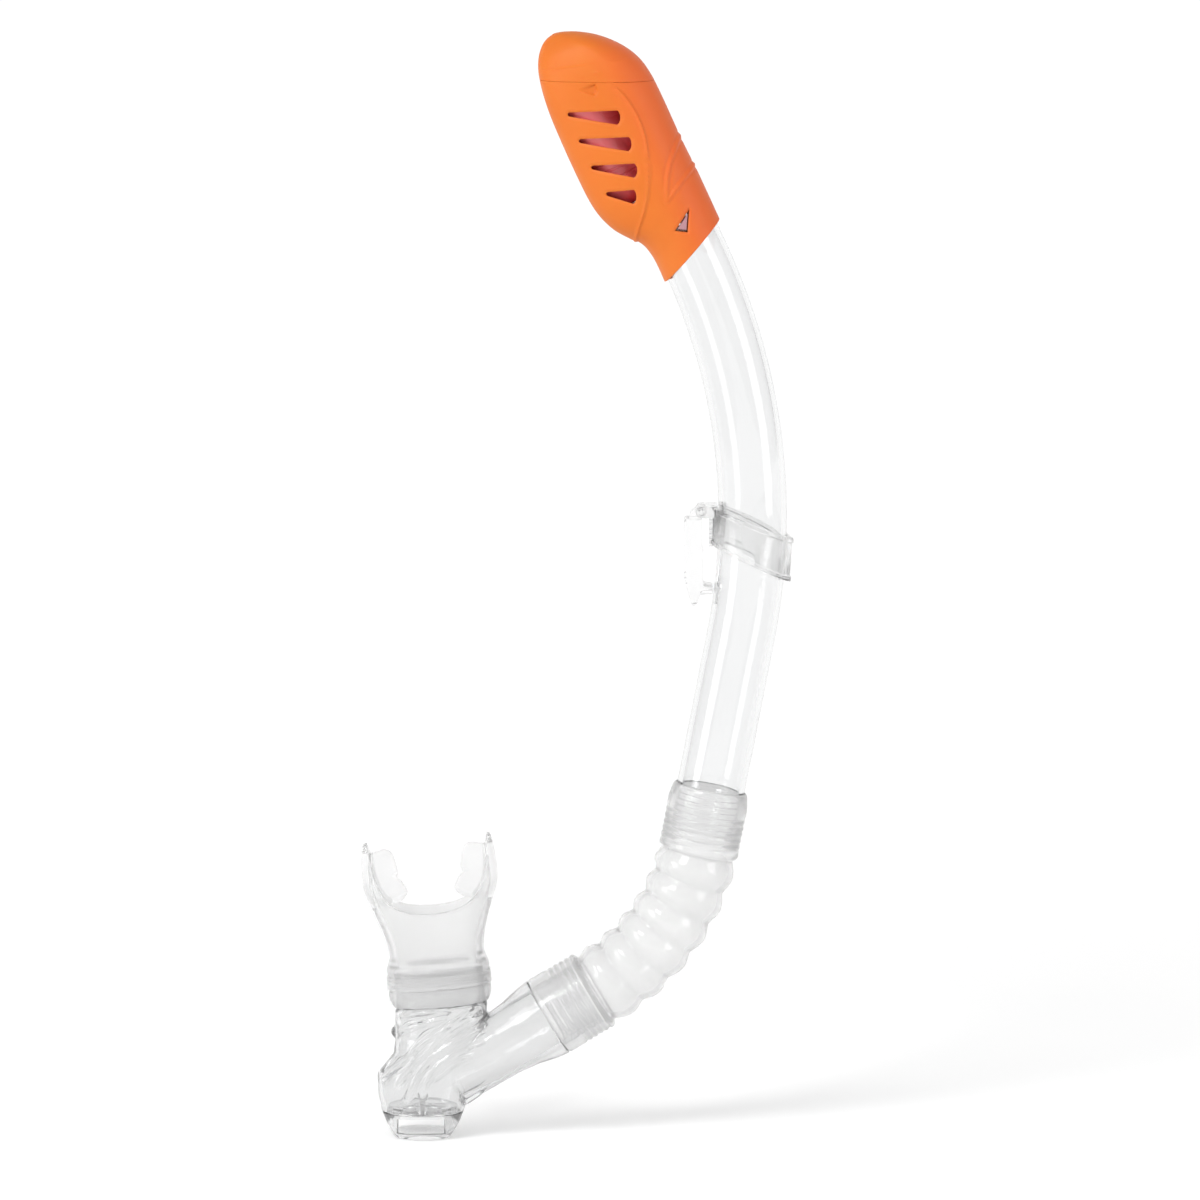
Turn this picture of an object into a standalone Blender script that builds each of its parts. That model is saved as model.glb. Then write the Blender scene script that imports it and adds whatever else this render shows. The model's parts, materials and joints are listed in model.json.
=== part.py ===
"""Dry-top snorkel: clear tube, orange float-valve cap, flexible hose, purge elbow and mouthpiece.

The snorkel hangs upright in the XZ plane with its mouthpiece to the left (-X).
The origin is the middle of the strap hook's inner face, where a mask strap bears.
Lengths are millimetres in the design values and become metres when a mesh is made.
"""

import math

import bmesh
import bpy
from mathutils import Matrix, Vector

MM = 0.001
GAP = 0.3

# Tube: straight below, then one arc, then straight again inside the cap
TUBE_RADIUS = 12.6
BORE_RADIUS = 10.7
ARC_RADIUS = 227.5
ARC_CENTRE = (-209.3, 18.3)
ARC_START_DEG = -11.0
ARC_END_DEG = 24.5
STRAIGHT_TO_HOSE = 57.9
HOSE_OVERLAP = 20.0
TUBE_TOP_IN_CAP = 22.0

# Cap, in its own frame: s runs up the cap's axis, t across it to the right
CAP_ABOVE_ARC = 4.6
CAP_EDGE_S = -0.3
CAP_EDGE_SLOPE = 0.458
SEAM_S = 68.8
SEAM_SLOPE = -math.tan(math.radians(ARC_END_DEG))
NECK_WALL = 1.05
CAP_WALL = 1.6
CAP_LEFT = (
    (-9, -13.95), (2, -13.95), (7.4, -14.9), (10.4, -16.4), (13.3, -19.0), (19.2, -23.2),
    (27, -26.0), (37, -27.0), (61, -27.0), (72.5, -26.2), (81.4, -24.5), (86.8, -22.3),
    (90.6, -19.3), (92.5, -16.4), (93.3, -13.2),
)
CAP_RIGHT = (
    (-9, 13.95), (25, 13.9), (37, 13.5), (61, 13.4), (69.6, 12.4), (75.5, 10.2),
    (81.2, 6.3), (86.6, 0.8), (90.5, -5.2), (92.5, -9.8), (93.3, -12.8),
)
CAP_DEPTH = (
    (-9, 13.95), (10, 14.1), (25, 14.9), (45, 15.5), (62, 15.2), (75, 13.6), (84, 11.0),
    (89, 7.6), (92.3, 3.4), (93.3, 0.2),
)
SLOT_COUNT = 4
SLOT_HALF_HEIGHT = 2.7
SLOT_TOP_Z = 166.7
SLOT_PITCH = 9.7
SLOT_WIDE_X = (-30.5, -26.4, -24.3, -24.6)
SLOT_TIP_X = (-49.4, -45.3, -40.8, -35.3)
SNAP_WINDOW = ((15.1, 5.6), (10.1, -2.4), (7.7, 1.6))

# Float valve, in the cap's frame
FLOAT_T = -13.2
FLOAT_RADIUS = 9.5
FLOAT_BOTTOM = 24.8
FLOAT_TOP = 48.0
SEAL_RADIUS = 8.4
SEAL_THICKNESS = 1.7
SEAT_RIM_S = 58.0
SEAT_PLATE_S = (58.9, 60.6)
CAGE_RADIUS = (9.95, 10.75)
CAGE_LOW_S = 44.0
CAGE_PORT = (52.5, 57.5, 4.5)
PARTITION = (
    (-19.0, 23.7), (-12.5, 23.6), (-7.8, 25.0), (-3.2, 29.6), (0.1, 36.5), (1.8, 45.0),
    (2.2, 53.0), (2.2, 59.6),
)
PARTITION_WALL = 1.4
O_RING_S = 17.5
O_RING_SECTION = 0.45
GROOVE_DEPTH = 1.2

# Strap keeper
KEEPER_CLEARANCE = 0.45
KEEPER_WALL = 2.2
KEEPER_LOW_Z = 1.9
KEEPER_HIGH_Z = 17.0
KEEPER_SHEAR = 0.388
HOOK_HINGE = (-0.8, 20.9)
HOOK_BARREL = 2.0
HOOK_PIN_RADIUS = 0.95
HOOK_HALF_WIDTH = 8.0
HOOK_OUTLINE = (
    (-0.4, 18.2), (-6.2, 18.2), (-7.0, 17.2), (-7.0, -3.7), (-5.6, -9.0), (-4.1, -13.4),
    (-3.3, -13.7), (-2.3, -13.0), (-1.2, -9.6), (3.5, -9.3), (3.7, -7.0), (0.4, -6.4),
    (0.0, -5.9), (0.0, 6.6), (-0.4, 7.0),
)

# Hose
HOSE_BEND_RADIUS = 79.0
HOSE_BEND_DEG = 48.0
HOSE_STRAIGHT = 22.0
LOWER_CUFF = 21.6
CONVOLUTIONS = 6
HOSE_PEAK = 15.0
HOSE_ROOT = 13.2
HOSE_WALL = 1.5
UPPER_CUFF_RADIUS = 14.8
LOWER_CUFF_RADIUS = 15.4
CUFF_BORE = TUBE_RADIUS + GAP

# Elbow: (height, left side, right side, half depth) of the spout and purge bowl
LEVEL_BELOW_Z = -181.0
SPIGOT_RADIUS = 12.6
SPIGOT_LENGTH = 17.0
ELBOW_WALL = 2.0
BARREL = ((0.3, 15.4), (5.0, 14.9), (12.0, 13.3), (20.0, 12.4), (30.0, 12.2), (46.0, 12.0))
BOWL = (
    (-149.0, -114.1, -81.3, 11.0), (-162.8, -112.9, -80.1, 11.0), (-163.3, -113.8, -79.4, 12.0),
    (-174.0, -113.6, -80.0, 12.4), (-181.0, -114.2, -81.5, 13.0), (-185.0, -117.3, -83.5, 13.6),
    (-188.5, -120.2, -84.8, 14.0), (-196.0, -120.0, -86.0, 14.0), (-202.4, -118.6, -88.2, 13.6),
)
COVER = (
    (-202.8, -118.4, -88.4, 13.5), (-207.0, -116.8, -90.0, 12.6), (-210.5, -114.6, -92.2, 11.4),
    (-212.0, -113.4, -93.2, 10.6),
)
COVER_WALL = 1.6
COVER_FLOOR_Z = -210.4
COVER_WINDOW_X = (-112.4, -95.4)
COVER_WINDOW_Z = (-209.9, -204.2)
PURGE_X = -103.6
PURGE_SEAT_Z = (-202.2, -199.8)
PURGE_VALVE_RADIUS = 9.6
PURGE_STEM = 0.9

# Mouthpiece, in its own frame: h runs up its axis from the sleeve's lower edge
MOUTH_BASE = (-96.5, -162.7)
MOUTH_LEAN_DEG = 5.0
SLEEVE = (19.0, 13.5)
SLEEVE_TOP = 14.5
TIE_BAND = (7.0, 12.0)
TIE_GROOVE = 0.8
MOUTH_OUTER = (
    (19.0, 17.4, 12.3), (27.0, 18.7, 12.4), (36.5, 21.9, 12.8), (43.5, 24.6, 13.4),
    (48.5, 25.1, 13.6), (57.0, 24.5, 13.4), (62.0, 23.6, 13.0),
)
MOUTH_INNER = (
    (16.0, 14.8, 9.4), (27.0, 15.0, 9.6), (30.5, 18.0, 10.4), (36.5, 19.8, 10.8),
    (43.5, 22.4, 11.4), (48.5, 22.9, 11.6), (57.0, 22.6, 11.6), (63.5, 22.0, 11.4),
)
U_CUT = ((0, 35.4), (8, 36.3), (14, 38.8), (17.5, 42.5), (20.0, 48.5), (21.6, 56.0), (22.8, 66.0))
BITE_TAB = ((23.8, 58.0), (15.0, 59.5), (13.2, 57.5), (11.6, 50.0), (8.8, 44.0), (12.6, 39.6), (19.5, 38.0))
BITE_HALF_DEPTH = 2.2

SEGMENTS = 30


# ---------------------------------------------------------------- helpers

def smooth_value(points, x):
    """Value at x of the smooth curve through (x, y) points, held flat outside them."""
    if x <= points[0][0]:
        return points[0][1]
    if x >= points[-1][0]:
        return points[-1][1]
    i = max(k for k in range(len(points) - 1) if points[k][0] <= x)
    before = points[max(i - 1, 0)]
    low, high = points[i], points[i + 1]
    after = points[min(i + 2, len(points) - 1)]
    width = high[0] - low[0]
    u = (x - low[0]) / width
    slope_low = (high[1] - before[1]) / (high[0] - before[0]) * width
    slope_high = (after[1] - low[1]) / (after[0] - low[0]) * width
    return (
        (2 * u**3 - 3 * u**2 + 1) * low[1]
        + (u**3 - 2 * u**2 + u) * slope_low
        + (3 * u**2 - 2 * u**3) * high[1]
        + (u**3 - u**2) * slope_high
    )


def signed_power(value, power):
    """The power of a value's size, with the value's own sign."""
    return math.copysign(abs(value) ** power, value)


def oval(centre, across, half_width, half_depth, power=2.0, count=SEGMENTS):
    """Ring of points round a centre: across is the width's direction, depth runs along Y."""
    ring = []
    for k in range(count):
        angle = 2 * math.pi * k / count
        wide = half_width * signed_power(math.cos(angle), 2 / power)
        deep = half_depth * signed_power(math.sin(angle), 2 / power)
        ring.append(centre + across * wide + Vector((0, deep, 0)))
    return ring


def loft(bm, rings, closed=False):
    """Skin consecutive rings. A closed loft joins last to first, an open one gets end caps."""
    rows = [[bm.verts.new(point) for point in ring] for ring in rings]
    pairs = list(zip(rows, rows[1:]))
    if closed:
        pairs.append((rows[-1], rows[0]))
    for low, high in pairs:
        for k in range(len(low)):
            n = (k + 1) % len(low)
            bm.faces.new((low[k], low[n], high[n], high[k]))
    if not closed:
        bm.faces.new(rows[0])
        bm.faces.new(rows[-1])


def prism(bm, outline, y_low, y_high):
    """Extrude an (x, z) outline along Y."""
    loft(bm, [[Vector((x, y, z)) for x, z in outline] for y in (y_low, y_high)])


def box(bm, low, high):
    """Box between two corners."""
    outline = ((low[0], low[2]), (high[0], low[2]), (high[0], high[2]), (low[0], high[2]))
    prism(bm, outline, low[1], high[1])


def rod(bm, start, end, radius, count=16):
    """Straight round bar between two points."""
    axis = (end - start).normalized()
    side = axis.orthogonal().normalized()
    other = axis.cross(side)
    rings = []
    for point in (start, end):
        turns = [2 * math.pi * k / count for k in range(count)]
        rings.append([point + side * radius * math.cos(a) + other * radius * math.sin(a) for a in turns])
    loft(bm, rings)


def turned(bm, centre, axis, profile, count=SEGMENTS, closed=False):
    """Turn (distance along axis, radius) points round an axis."""
    side = Vector((0, 1, 0))
    other = axis.cross(side)
    rings = []
    for along, radius in profile:
        turns = [2 * math.pi * k / count for k in range(count)]
        middle = centre + axis * along
        rings.append([middle + side * radius * math.cos(a) + other * radius * math.sin(a) for a in turns])
    loft(bm, rings, closed)


def plastic(name, colour, roughness, transmission=0.0):
    """Principled material of a moulded plastic or rubber."""
    material = bpy.data.materials.new(name)
    material.use_nodes = True
    shader = material.node_tree.nodes["Principled BSDF"]
    shader.inputs["Base Color"].default_value = (*colour, 1.0)
    shader.inputs["Roughness"].default_value = roughness
    shader.inputs["Metallic"].default_value = 0.0
    shader.inputs["Transmission Weight"].default_value = transmission
    return material


def pivot(name, location):
    """Empty on a joint's axis, at a location in millimetres."""
    empty = bpy.data.objects.new(name, None)
    empty.location = Vector(location) * MM
    empty.empty_display_size = 0.01
    bpy.context.collection.objects.link(empty)
    return empty


def piece(name, bm, material=None, parent=None):
    """Turn a bmesh in millimetres into a named object under its pivot."""
    bmesh.ops.recalc_face_normals(bm, faces=bm.faces)
    mesh = bpy.data.meshes.new(name)
    bm.to_mesh(mesh)
    bm.free()
    mesh.transform(Matrix.Scale(MM, 4))
    if parent:
        mesh.transform(Matrix.Translation(-parent.location))
    if material:
        mesh.materials.append(material)
    mesh.shade_smooth()
    mesh.set_sharp_from_angle(angle=math.radians(35))
    obj = bpy.data.objects.new(name, mesh)
    obj.parent = parent
    bpy.context.collection.objects.link(obj)
    return obj


def helper(name, bm, parent=None):
    """Cutter or added shape that only serves a Boolean."""
    obj = piece(name, bm, parent=parent)
    obj.hide_render = True
    obj.display_type = "WIRE"
    return obj


def combine(target, operation, tool):
    """Add an exact Boolean to a piece."""
    modifier = target.modifiers.new(tool.name, "BOOLEAN")
    modifier.operation = operation
    modifier.solver = "EXACT"
    modifier.object = tool


# ---------------------------------------------------------------- shared lines

def arc_point(degrees, out=0.0):
    """Point at an angle on the tube's arc, moved out from the arc's centre."""
    angle = math.radians(degrees)
    reach = ARC_RADIUS + out
    return Vector((ARC_CENTRE[0] + reach * math.cos(angle), 0, ARC_CENTRE[1] + reach * math.sin(angle)))


def outward(degrees):
    """Direction away from the arc's centre."""
    return Vector((math.cos(math.radians(degrees)), 0, math.sin(math.radians(degrees))))


def upward(degrees):
    """Direction along the tube, up, at an angle on its arc."""
    return Vector((-math.sin(math.radians(degrees)), 0, math.cos(math.radians(degrees))))


STRAIGHT_TOP = arc_point(ARC_START_DEG)
TUBE_DOWN = -upward(ARC_START_DEG)
CAP_UP = upward(ARC_END_DEG)
CAP_ACROSS = outward(ARC_END_DEG)
CAP_ORIGIN = arc_point(ARC_END_DEG) + CAP_UP * CAP_ABOVE_ARC
HOSE_START = STRAIGHT_TOP + TUBE_DOWN * STRAIGHT_TO_HOSE
BEND_START = HOSE_START + TUBE_DOWN * HOSE_STRAIGHT
BEND_CENTRE = BEND_START - outward(ARC_START_DEG) * HOSE_BEND_RADIUS
BEND_END_DEG = ARC_START_DEG - HOSE_BEND_DEG
BEND_END = BEND_CENTRE + outward(BEND_END_DEG) * HOSE_BEND_RADIUS
BARREL_DOWN = -upward(BEND_END_DEG)
SEAM = BEND_END + BARREL_DOWN * LOWER_CUFF
BEND_MIDDLE = BEND_CENTRE + outward(ARC_START_DEG - HOSE_BEND_DEG / 2) * HOSE_BEND_RADIUS
MOUTH_UP = upward(MOUTH_LEAN_DEG)
MOUTH_ACROSS = outward(MOUTH_LEAN_DEG)
MOUTH_ORIGIN = Vector((MOUTH_BASE[0], 0, MOUTH_BASE[1]))


def cap_point(s, t, y=0.0):
    """Point in the cap's frame: s up its axis, t across, y to the back."""
    return CAP_ORIGIN + CAP_UP * s + CAP_ACROSS * t + Vector((0, y, 0))


def mouth_point(h, across, y=0.0):
    """Point in the mouthpiece's frame."""
    return MOUTH_ORIGIN + MOUTH_UP * h + MOUTH_ACROSS * across + Vector((0, y, 0))


def flat_outline(points):
    """The (x, z) pairs of points in the XZ plane."""
    return [(point.x, point.z) for point in points]


# ---------------------------------------------------------------- tube

def tube_rings(radius, low, high):
    """Rings along the tube from a distance below the arc to a height in the cap's frame."""
    rings = [oval(STRAIGHT_TOP + TUBE_DOWN * d, outward(ARC_START_DEG), radius, radius) for d in (low, 0)]
    steps = 9
    for k in range(1, steps + 1):
        degrees = ARC_START_DEG + (ARC_END_DEG - ARC_START_DEG) * k / steps
        rings.append(oval(arc_point(degrees), outward(degrees), radius, radius))
    for s in high:
        rings.append(oval(cap_point(s, 0), CAP_ACROSS, radius, radius))
    return rings


def build_tube(material):
    """Clear tube with an O-ring groove and two snap lugs inside the cap."""
    low = STRAIGHT_TO_HOSE + HOSE_OVERLAP
    groove = (O_RING_S - 1.0, O_RING_S + 1.0)
    outer = tube_rings(TUBE_RADIUS, low, groove[:1])
    for s in groove:
        outer.append(oval(cap_point(s, 0), CAP_ACROSS, TUBE_RADIUS - GROOVE_DEPTH, TUBE_RADIUS - GROOVE_DEPTH))
    for s in (groove[1], TUBE_TOP_IN_CAP):
        outer.append(oval(cap_point(s, 0), CAP_ACROSS, TUBE_RADIUS, TUBE_RADIUS))
    inner = tube_rings(BORE_RADIUS, low, (TUBE_TOP_IN_CAP,))
    bm = bmesh.new()
    loft(bm, outer + inner[::-1], closed=True)
    tube = piece("tube", bm, material)
    for side, name in ((-1, "front_lug"), (1, "rear_lug")):
        bm = bmesh.new()
        middle = [sum(c) / 3 for c in zip(*SNAP_WINDOW)]
        corners = [[m + 0.6 * (c - m) for c, m in zip(corner, middle)] for corner in SNAP_WINDOW]
        outline = flat_outline([cap_point(s, t) for s, t in corners])
        prism(bm, outline, *sorted((side * (TUBE_RADIUS - 1.4), side * (TUBE_RADIUS + 0.9))))
        combine(tube, "UNION", helper(name, bm))
    return tube


# ---------------------------------------------------------------- cap

def cap_ring(s0, slope, inset=0.0):
    """Ring round the cap in a plane tilted by slope, shrunk by an inset."""
    left, right = -20.0, 13.0
    for _ in range(12):
        left = smooth_value(CAP_LEFT, s0 + slope * left)
        right = smooth_value(CAP_RIGHT, s0 + slope * right)
    middle = 0.0 if right > 11 else right + (left - right) * 0.35
    squareness = 2.0 + 0.6 * min(max((s0 - 8) / 20, 0), 1) * min(max((92 - s0) / 14, 0), 1)
    ring = []
    for k in range(SEGMENTS):
        angle = 2 * math.pi * k / SEGMENTS
        cos, sin = math.cos(angle), math.sin(angle)
        if cos >= 0:
            t = middle + (right - inset - middle) * cos
            reach = sin
        else:
            t = middle - (middle - left - inset) * abs(cos) ** (2 / squareness)
            reach = signed_power(sin, 2 / squareness)
        s = s0 + slope * t
        depth = max(smooth_value(CAP_DEPTH, s0) - inset, 0.15)
        ring.append(cap_point(s, t, depth * reach))
    return ring


def cap_slope(s0):
    """Tilt of the cap's rings, from its cut lower edge to the seam."""
    return CAP_EDGE_SLOPE + (SEAM_SLOPE - CAP_EDGE_SLOPE) * (s0 - CAP_EDGE_S) / (SEAM_S - CAP_EDGE_S)


def build_cap_body(material):
    """Orange housing: slotted float chamber on the left, air duct on the right."""
    heights = (CAP_EDGE_S, 5, 9, 12, 15, 18, 23, 30, 40, 50, 59, SEAM_S - GAP / 2)
    outer = [cap_ring(s, cap_slope(s)) for s in heights]
    inner = [cap_ring(s, cap_slope(s), NECK_WALL if s < 19 else CAP_WALL) for s in heights]
    bm = bmesh.new()
    loft(bm, outer + inner[::-1], closed=True)
    body = piece("cap_body", bm, material)
    bm = bmesh.new()
    for k in range(SLOT_COUNT):
        z = SLOT_TOP_Z - SLOT_PITCH * k
        wide, tip, half = SLOT_WIDE_X[k], SLOT_TIP_X[k], SLOT_HALF_HEIGHT
        outline = (
            (tip, z + 0.4), (tip, z + 1.2), (wide - 2, z + half), (wide - 0.5, z + half - 0.8),
            (wide, z), (wide - 0.5, z - half + 0.6), (wide - 2, z - half),
        )
        prism(bm, outline, -20, 20)
    combine(body, "DIFFERENCE", helper("slot_cutter", bm))
    bm = bmesh.new()
    prism(bm, flat_outline([cap_point(s, t) for s, t in SNAP_WINDOW]), -20, 20)
    combine(body, "DIFFERENCE", helper("window_cutter", bm))
    return body


def build_cap_dome(material):
    """Orange lid that closes the housing above its seam."""
    heights = (SEAM_S + GAP / 2, 72, 76.5, 81, 85, 88.2, 90.6, 92.3, 93.15)
    rings = []
    for s in heights:
        share = min((s - heights[0]) / (89 - heights[0]), 1)
        rings.append((s, SEAM_SLOPE * (1 - share)))
    outer = [cap_ring(s, slope) for s, slope in rings]
    inner = [cap_ring(s - CAP_WALL * min((s - heights[0]) / 20, 1), slope, CAP_WALL) for s, slope in rings[:-2]]
    bm = bmesh.new()
    rows = [[bm.verts.new(point) for point in ring] for ring in outer[::-1] + inner]
    for low, high in zip(rows, rows[1:]):
        for k in range(SEGMENTS):
            n = (k + 1) % SEGMENTS
            bm.faces.new((low[k], low[n], high[n], high[k]))
    bm.faces.new(rows[0])
    bm.faces.new(rows[-1])
    return piece("cap_dome", bm, material)


def thick_line(points, wall):
    """Outline of a wall that follows a line of (t, s) points."""
    left, right = [], []
    for k, (t, s) in enumerate(points):
        before, after = points[max(k - 1, 0)], points[min(k + 1, len(points) - 1)]
        along = Vector((after[0] - before[0], after[1] - before[1])).normalized()
        left.append((t - along.y * wall / 2, s + along.x * wall / 2))
        right.append((t + along.y * wall / 2, s - along.x * wall / 2))
    return left + right[::-1]


def build_valve_carrier(material):
    """Dark red insert: valve seat, float cage, float rest, and the wall beside the air duct."""
    inset = CAP_WALL + GAP
    bm = bmesh.new()
    loft(bm, [cap_ring(s, SEAM_SLOPE, inset) for s in SEAT_PLATE_S])
    carrier = piece("valve_carrier", bm, material)
    bm = bmesh.new()
    turned(bm, cap_point(SEAT_RIM_S, FLOAT_T), CAP_UP, ((0, 7.4), (9.0, 8.6)), 28)
    combine(carrier, "UNION", helper("seat_collar", bm))
    bm = bmesh.new()
    turned(bm, cap_point(CAGE_LOW_S, FLOAT_T), CAP_UP, ((0, CAGE_RADIUS[1]), (28.0, CAGE_RADIUS[1])), 28)
    cage = helper("float_cage", bm)
    bm = bmesh.new()
    turned(bm, cap_point(CAGE_LOW_S - 1, FLOAT_T), CAP_UP, ((0, CAGE_RADIUS[0]), (40.0, CAGE_RADIUS[0])), 28)
    low, high, half = CAGE_PORT
    combine(cage, "DIFFERENCE", helper("float_room", bm))
    bm = bmesh.new()
    outline = [cap_point(s, t) for s, t in ((low, -30), (high, -30), (high, 3), (low, 3))]
    prism(bm, flat_outline(outline), -half, half)
    combine(cage, "DIFFERENCE", helper("cage_ports", bm))
    combine(carrier, "UNION", cage)
    bm = bmesh.new()
    outline = thick_line(PARTITION, PARTITION_WALL)
    prism(bm, flat_outline([cap_point(s, t) for t, s in outline]), -20, 20)
    combine(carrier, "UNION", helper("partition", bm))
    bm = bmesh.new()
    heights = (22.6, 26, 30, 36, 44, 52, 59, SEAT_PLATE_S[1])
    slopes = [SEAM_SLOPE * min((s - heights[0]) / 30, 1) for s in heights]
    loft(bm, [cap_ring(s, slope, inset) for s, slope in zip(heights, slopes)])
    combine(carrier, "INTERSECT", helper("chamber_fit", bm))
    bm = bmesh.new()
    turned(bm, cap_point(SEAT_RIM_S - 1, FLOAT_T), CAP_UP, ((0, 5.4), (16, 5.4)), 28)
    combine(carrier, "DIFFERENCE", helper("seat_bore", bm))
    bm = bmesh.new()
    loft(bm, [oval(cap_point(s, 7.2), CAP_ACROSS, 3.8, 8.5) for s in (50, 64)])
    combine(carrier, "DIFFERENCE", helper("duct_bore", bm))
    return carrier


def build_float(material, seal_material, parent):
    """Buoyant float with a soft seal held on its top stud."""
    centre = cap_point(0, FLOAT_T)
    dome = []
    for k in range(1, 6):
        angle = math.radians(90 * k / 5)
        along = FLOAT_BOTTOM + FLOAT_RADIUS * (1 - math.cos(angle))
        dome.append((along, FLOAT_RADIUS * math.sin(angle)))
    shoulder = ((FLOAT_TOP - 1.0, FLOAT_RADIUS), (FLOAT_TOP, FLOAT_RADIUS - 1.0))
    stud = ((FLOAT_TOP, 2.0), (FLOAT_TOP + 1.2, 2.0))
    bm = bmesh.new()
    turned(bm, centre, CAP_UP, ((FLOAT_BOTTOM, 0.4), *dome, *shoulder, *stud), 28)
    piece("float", bm, material, parent)
    base = FLOAT_TOP + GAP
    profile = (
        (base, 2.0 + GAP), (base, SEAL_RADIUS), (base + SEAL_THICKNESS - 0.5, SEAL_RADIUS),
        (base + SEAL_THICKNESS, SEAL_RADIUS - 0.6), (base + SEAL_THICKNESS, 2.0 + GAP),
    )
    bm = bmesh.new()
    turned(bm, centre, CAP_UP, profile, 28, closed=True)
    piece("float_seal", bm, seal_material, parent)


def build_o_ring(material):
    """Seal in the tube's groove, between tube and cap."""
    middle = TUBE_RADIUS - O_RING_SECTION
    profile = []
    for k in range(6):
        angle = math.pi * k / 3
        profile.append((O_RING_S + O_RING_SECTION * math.sin(angle), middle + O_RING_SECTION * math.cos(angle)))
    bm = bmesh.new()
    turned(bm, cap_point(0, 0), CAP_UP, profile, closed=True)
    piece("neck_o_ring", bm, material)


# ---------------------------------------------------------------- strap keeper

def keeper_ring(z, radius):
    """Sheared ring that follows the tube's arc at a height."""
    base = math.asin((z - ARC_CENTRE[1]) / ARC_RADIUS)
    ring = []
    for k in range(SEGMENTS):
        angle = 2 * math.pi * k / SEGMENTS
        out = radius * math.cos(angle)
        turn = base - KEEPER_SHEAR * out / ARC_RADIUS
        point = arc_point(math.degrees(turn), out)
        ring.append(point + Vector((0, radius * math.sin(angle), 0)))
    return ring


def build_keeper(material, pin_material, slide, hinge):
    """Clear sleeve on the tube with a hinged strap hook."""
    inner, outer = TUBE_RADIUS + KEEPER_CLEARANCE, TUBE_RADIUS + KEEPER_CLEARANCE + KEEPER_WALL
    heights = (KEEPER_LOW_Z, (KEEPER_LOW_Z + KEEPER_HIGH_Z) / 2, KEEPER_HIGH_Z)
    outside = [keeper_ring(z, outer) for z in heights]
    inside = [keeper_ring(z, inner) for z in heights]
    bm = bmesh.new()
    loft(bm, outside + inside[::-1], closed=True)
    ring = piece("keeper_ring", bm, material, slide)
    x, z = HOOK_HINGE
    for side, name in ((-1, "front_ear"), (1, "rear_ear")):
        low, high = sorted((side * 5.0, side * 8.2))
        outline = [(5.2, z - HOOK_BARREL), (5.2, z + HOOK_BARREL)]
        for k in range(7):
            angle = math.radians(90 + 30 * k)
            outline.append((x + HOOK_BARREL * math.cos(angle), z + HOOK_BARREL * math.sin(angle)))
        bm = bmesh.new()
        prism(bm, outline, low, high)
        combine(ring, "UNION", helper(name, bm, slide))
    bm = bmesh.new()
    rod(bm, Vector((x, -10, z)), Vector((x, 10, z)), HOOK_PIN_RADIUS + GAP)
    bore = helper("hinge_bore", bm, slide)
    combine(ring, "DIFFERENCE", bore)

    bm = bmesh.new()
    prism(bm, HOOK_OUTLINE, -HOOK_HALF_WIDTH, HOOK_HALF_WIDTH)
    hook = piece("keeper_hook", bm, material, hinge)
    bm = bmesh.new()
    rod(bm, Vector((x, -4.6, z)), Vector((x, 4.6, z)), HOOK_BARREL)
    combine(hook, "UNION", helper("hook_barrel", bm, hinge))
    bm = bmesh.new()
    prism(bm, ((-5.6, 17.5), (-1.0, 17.5), (-0.2, 20.0), (-1.6, 22.3), (-4.4, 20.6)), -4.6, 4.6)
    combine(hook, "UNION", helper("hook_neck", bm, hinge))
    combine(hook, "DIFFERENCE", bore)

    bm = bmesh.new()
    rod(bm, Vector((x, -8.2, z)), Vector((x, 8.2, z)), HOOK_PIN_RADIUS, 12)
    piece("keeper_pin", bm, pin_material, slide)


# ---------------------------------------------------------------- hose

def hose_station(distance):
    """Centre and outward side of the hose at a distance from its upper end."""
    bend = math.radians(HOSE_BEND_DEG) * HOSE_BEND_RADIUS
    if distance <= HOSE_STRAIGHT:
        return HOSE_START + TUBE_DOWN * distance, outward(ARC_START_DEG)
    if distance <= HOSE_STRAIGHT + bend:
        degrees = ARC_START_DEG - math.degrees((distance - HOSE_STRAIGHT) / HOSE_BEND_RADIUS)
        return BEND_CENTRE + outward(degrees) * HOSE_BEND_RADIUS, outward(degrees)
    rest = distance - HOSE_STRAIGHT - bend
    return BEND_END + BARREL_DOWN * rest, outward(BEND_END_DEG)


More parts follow.
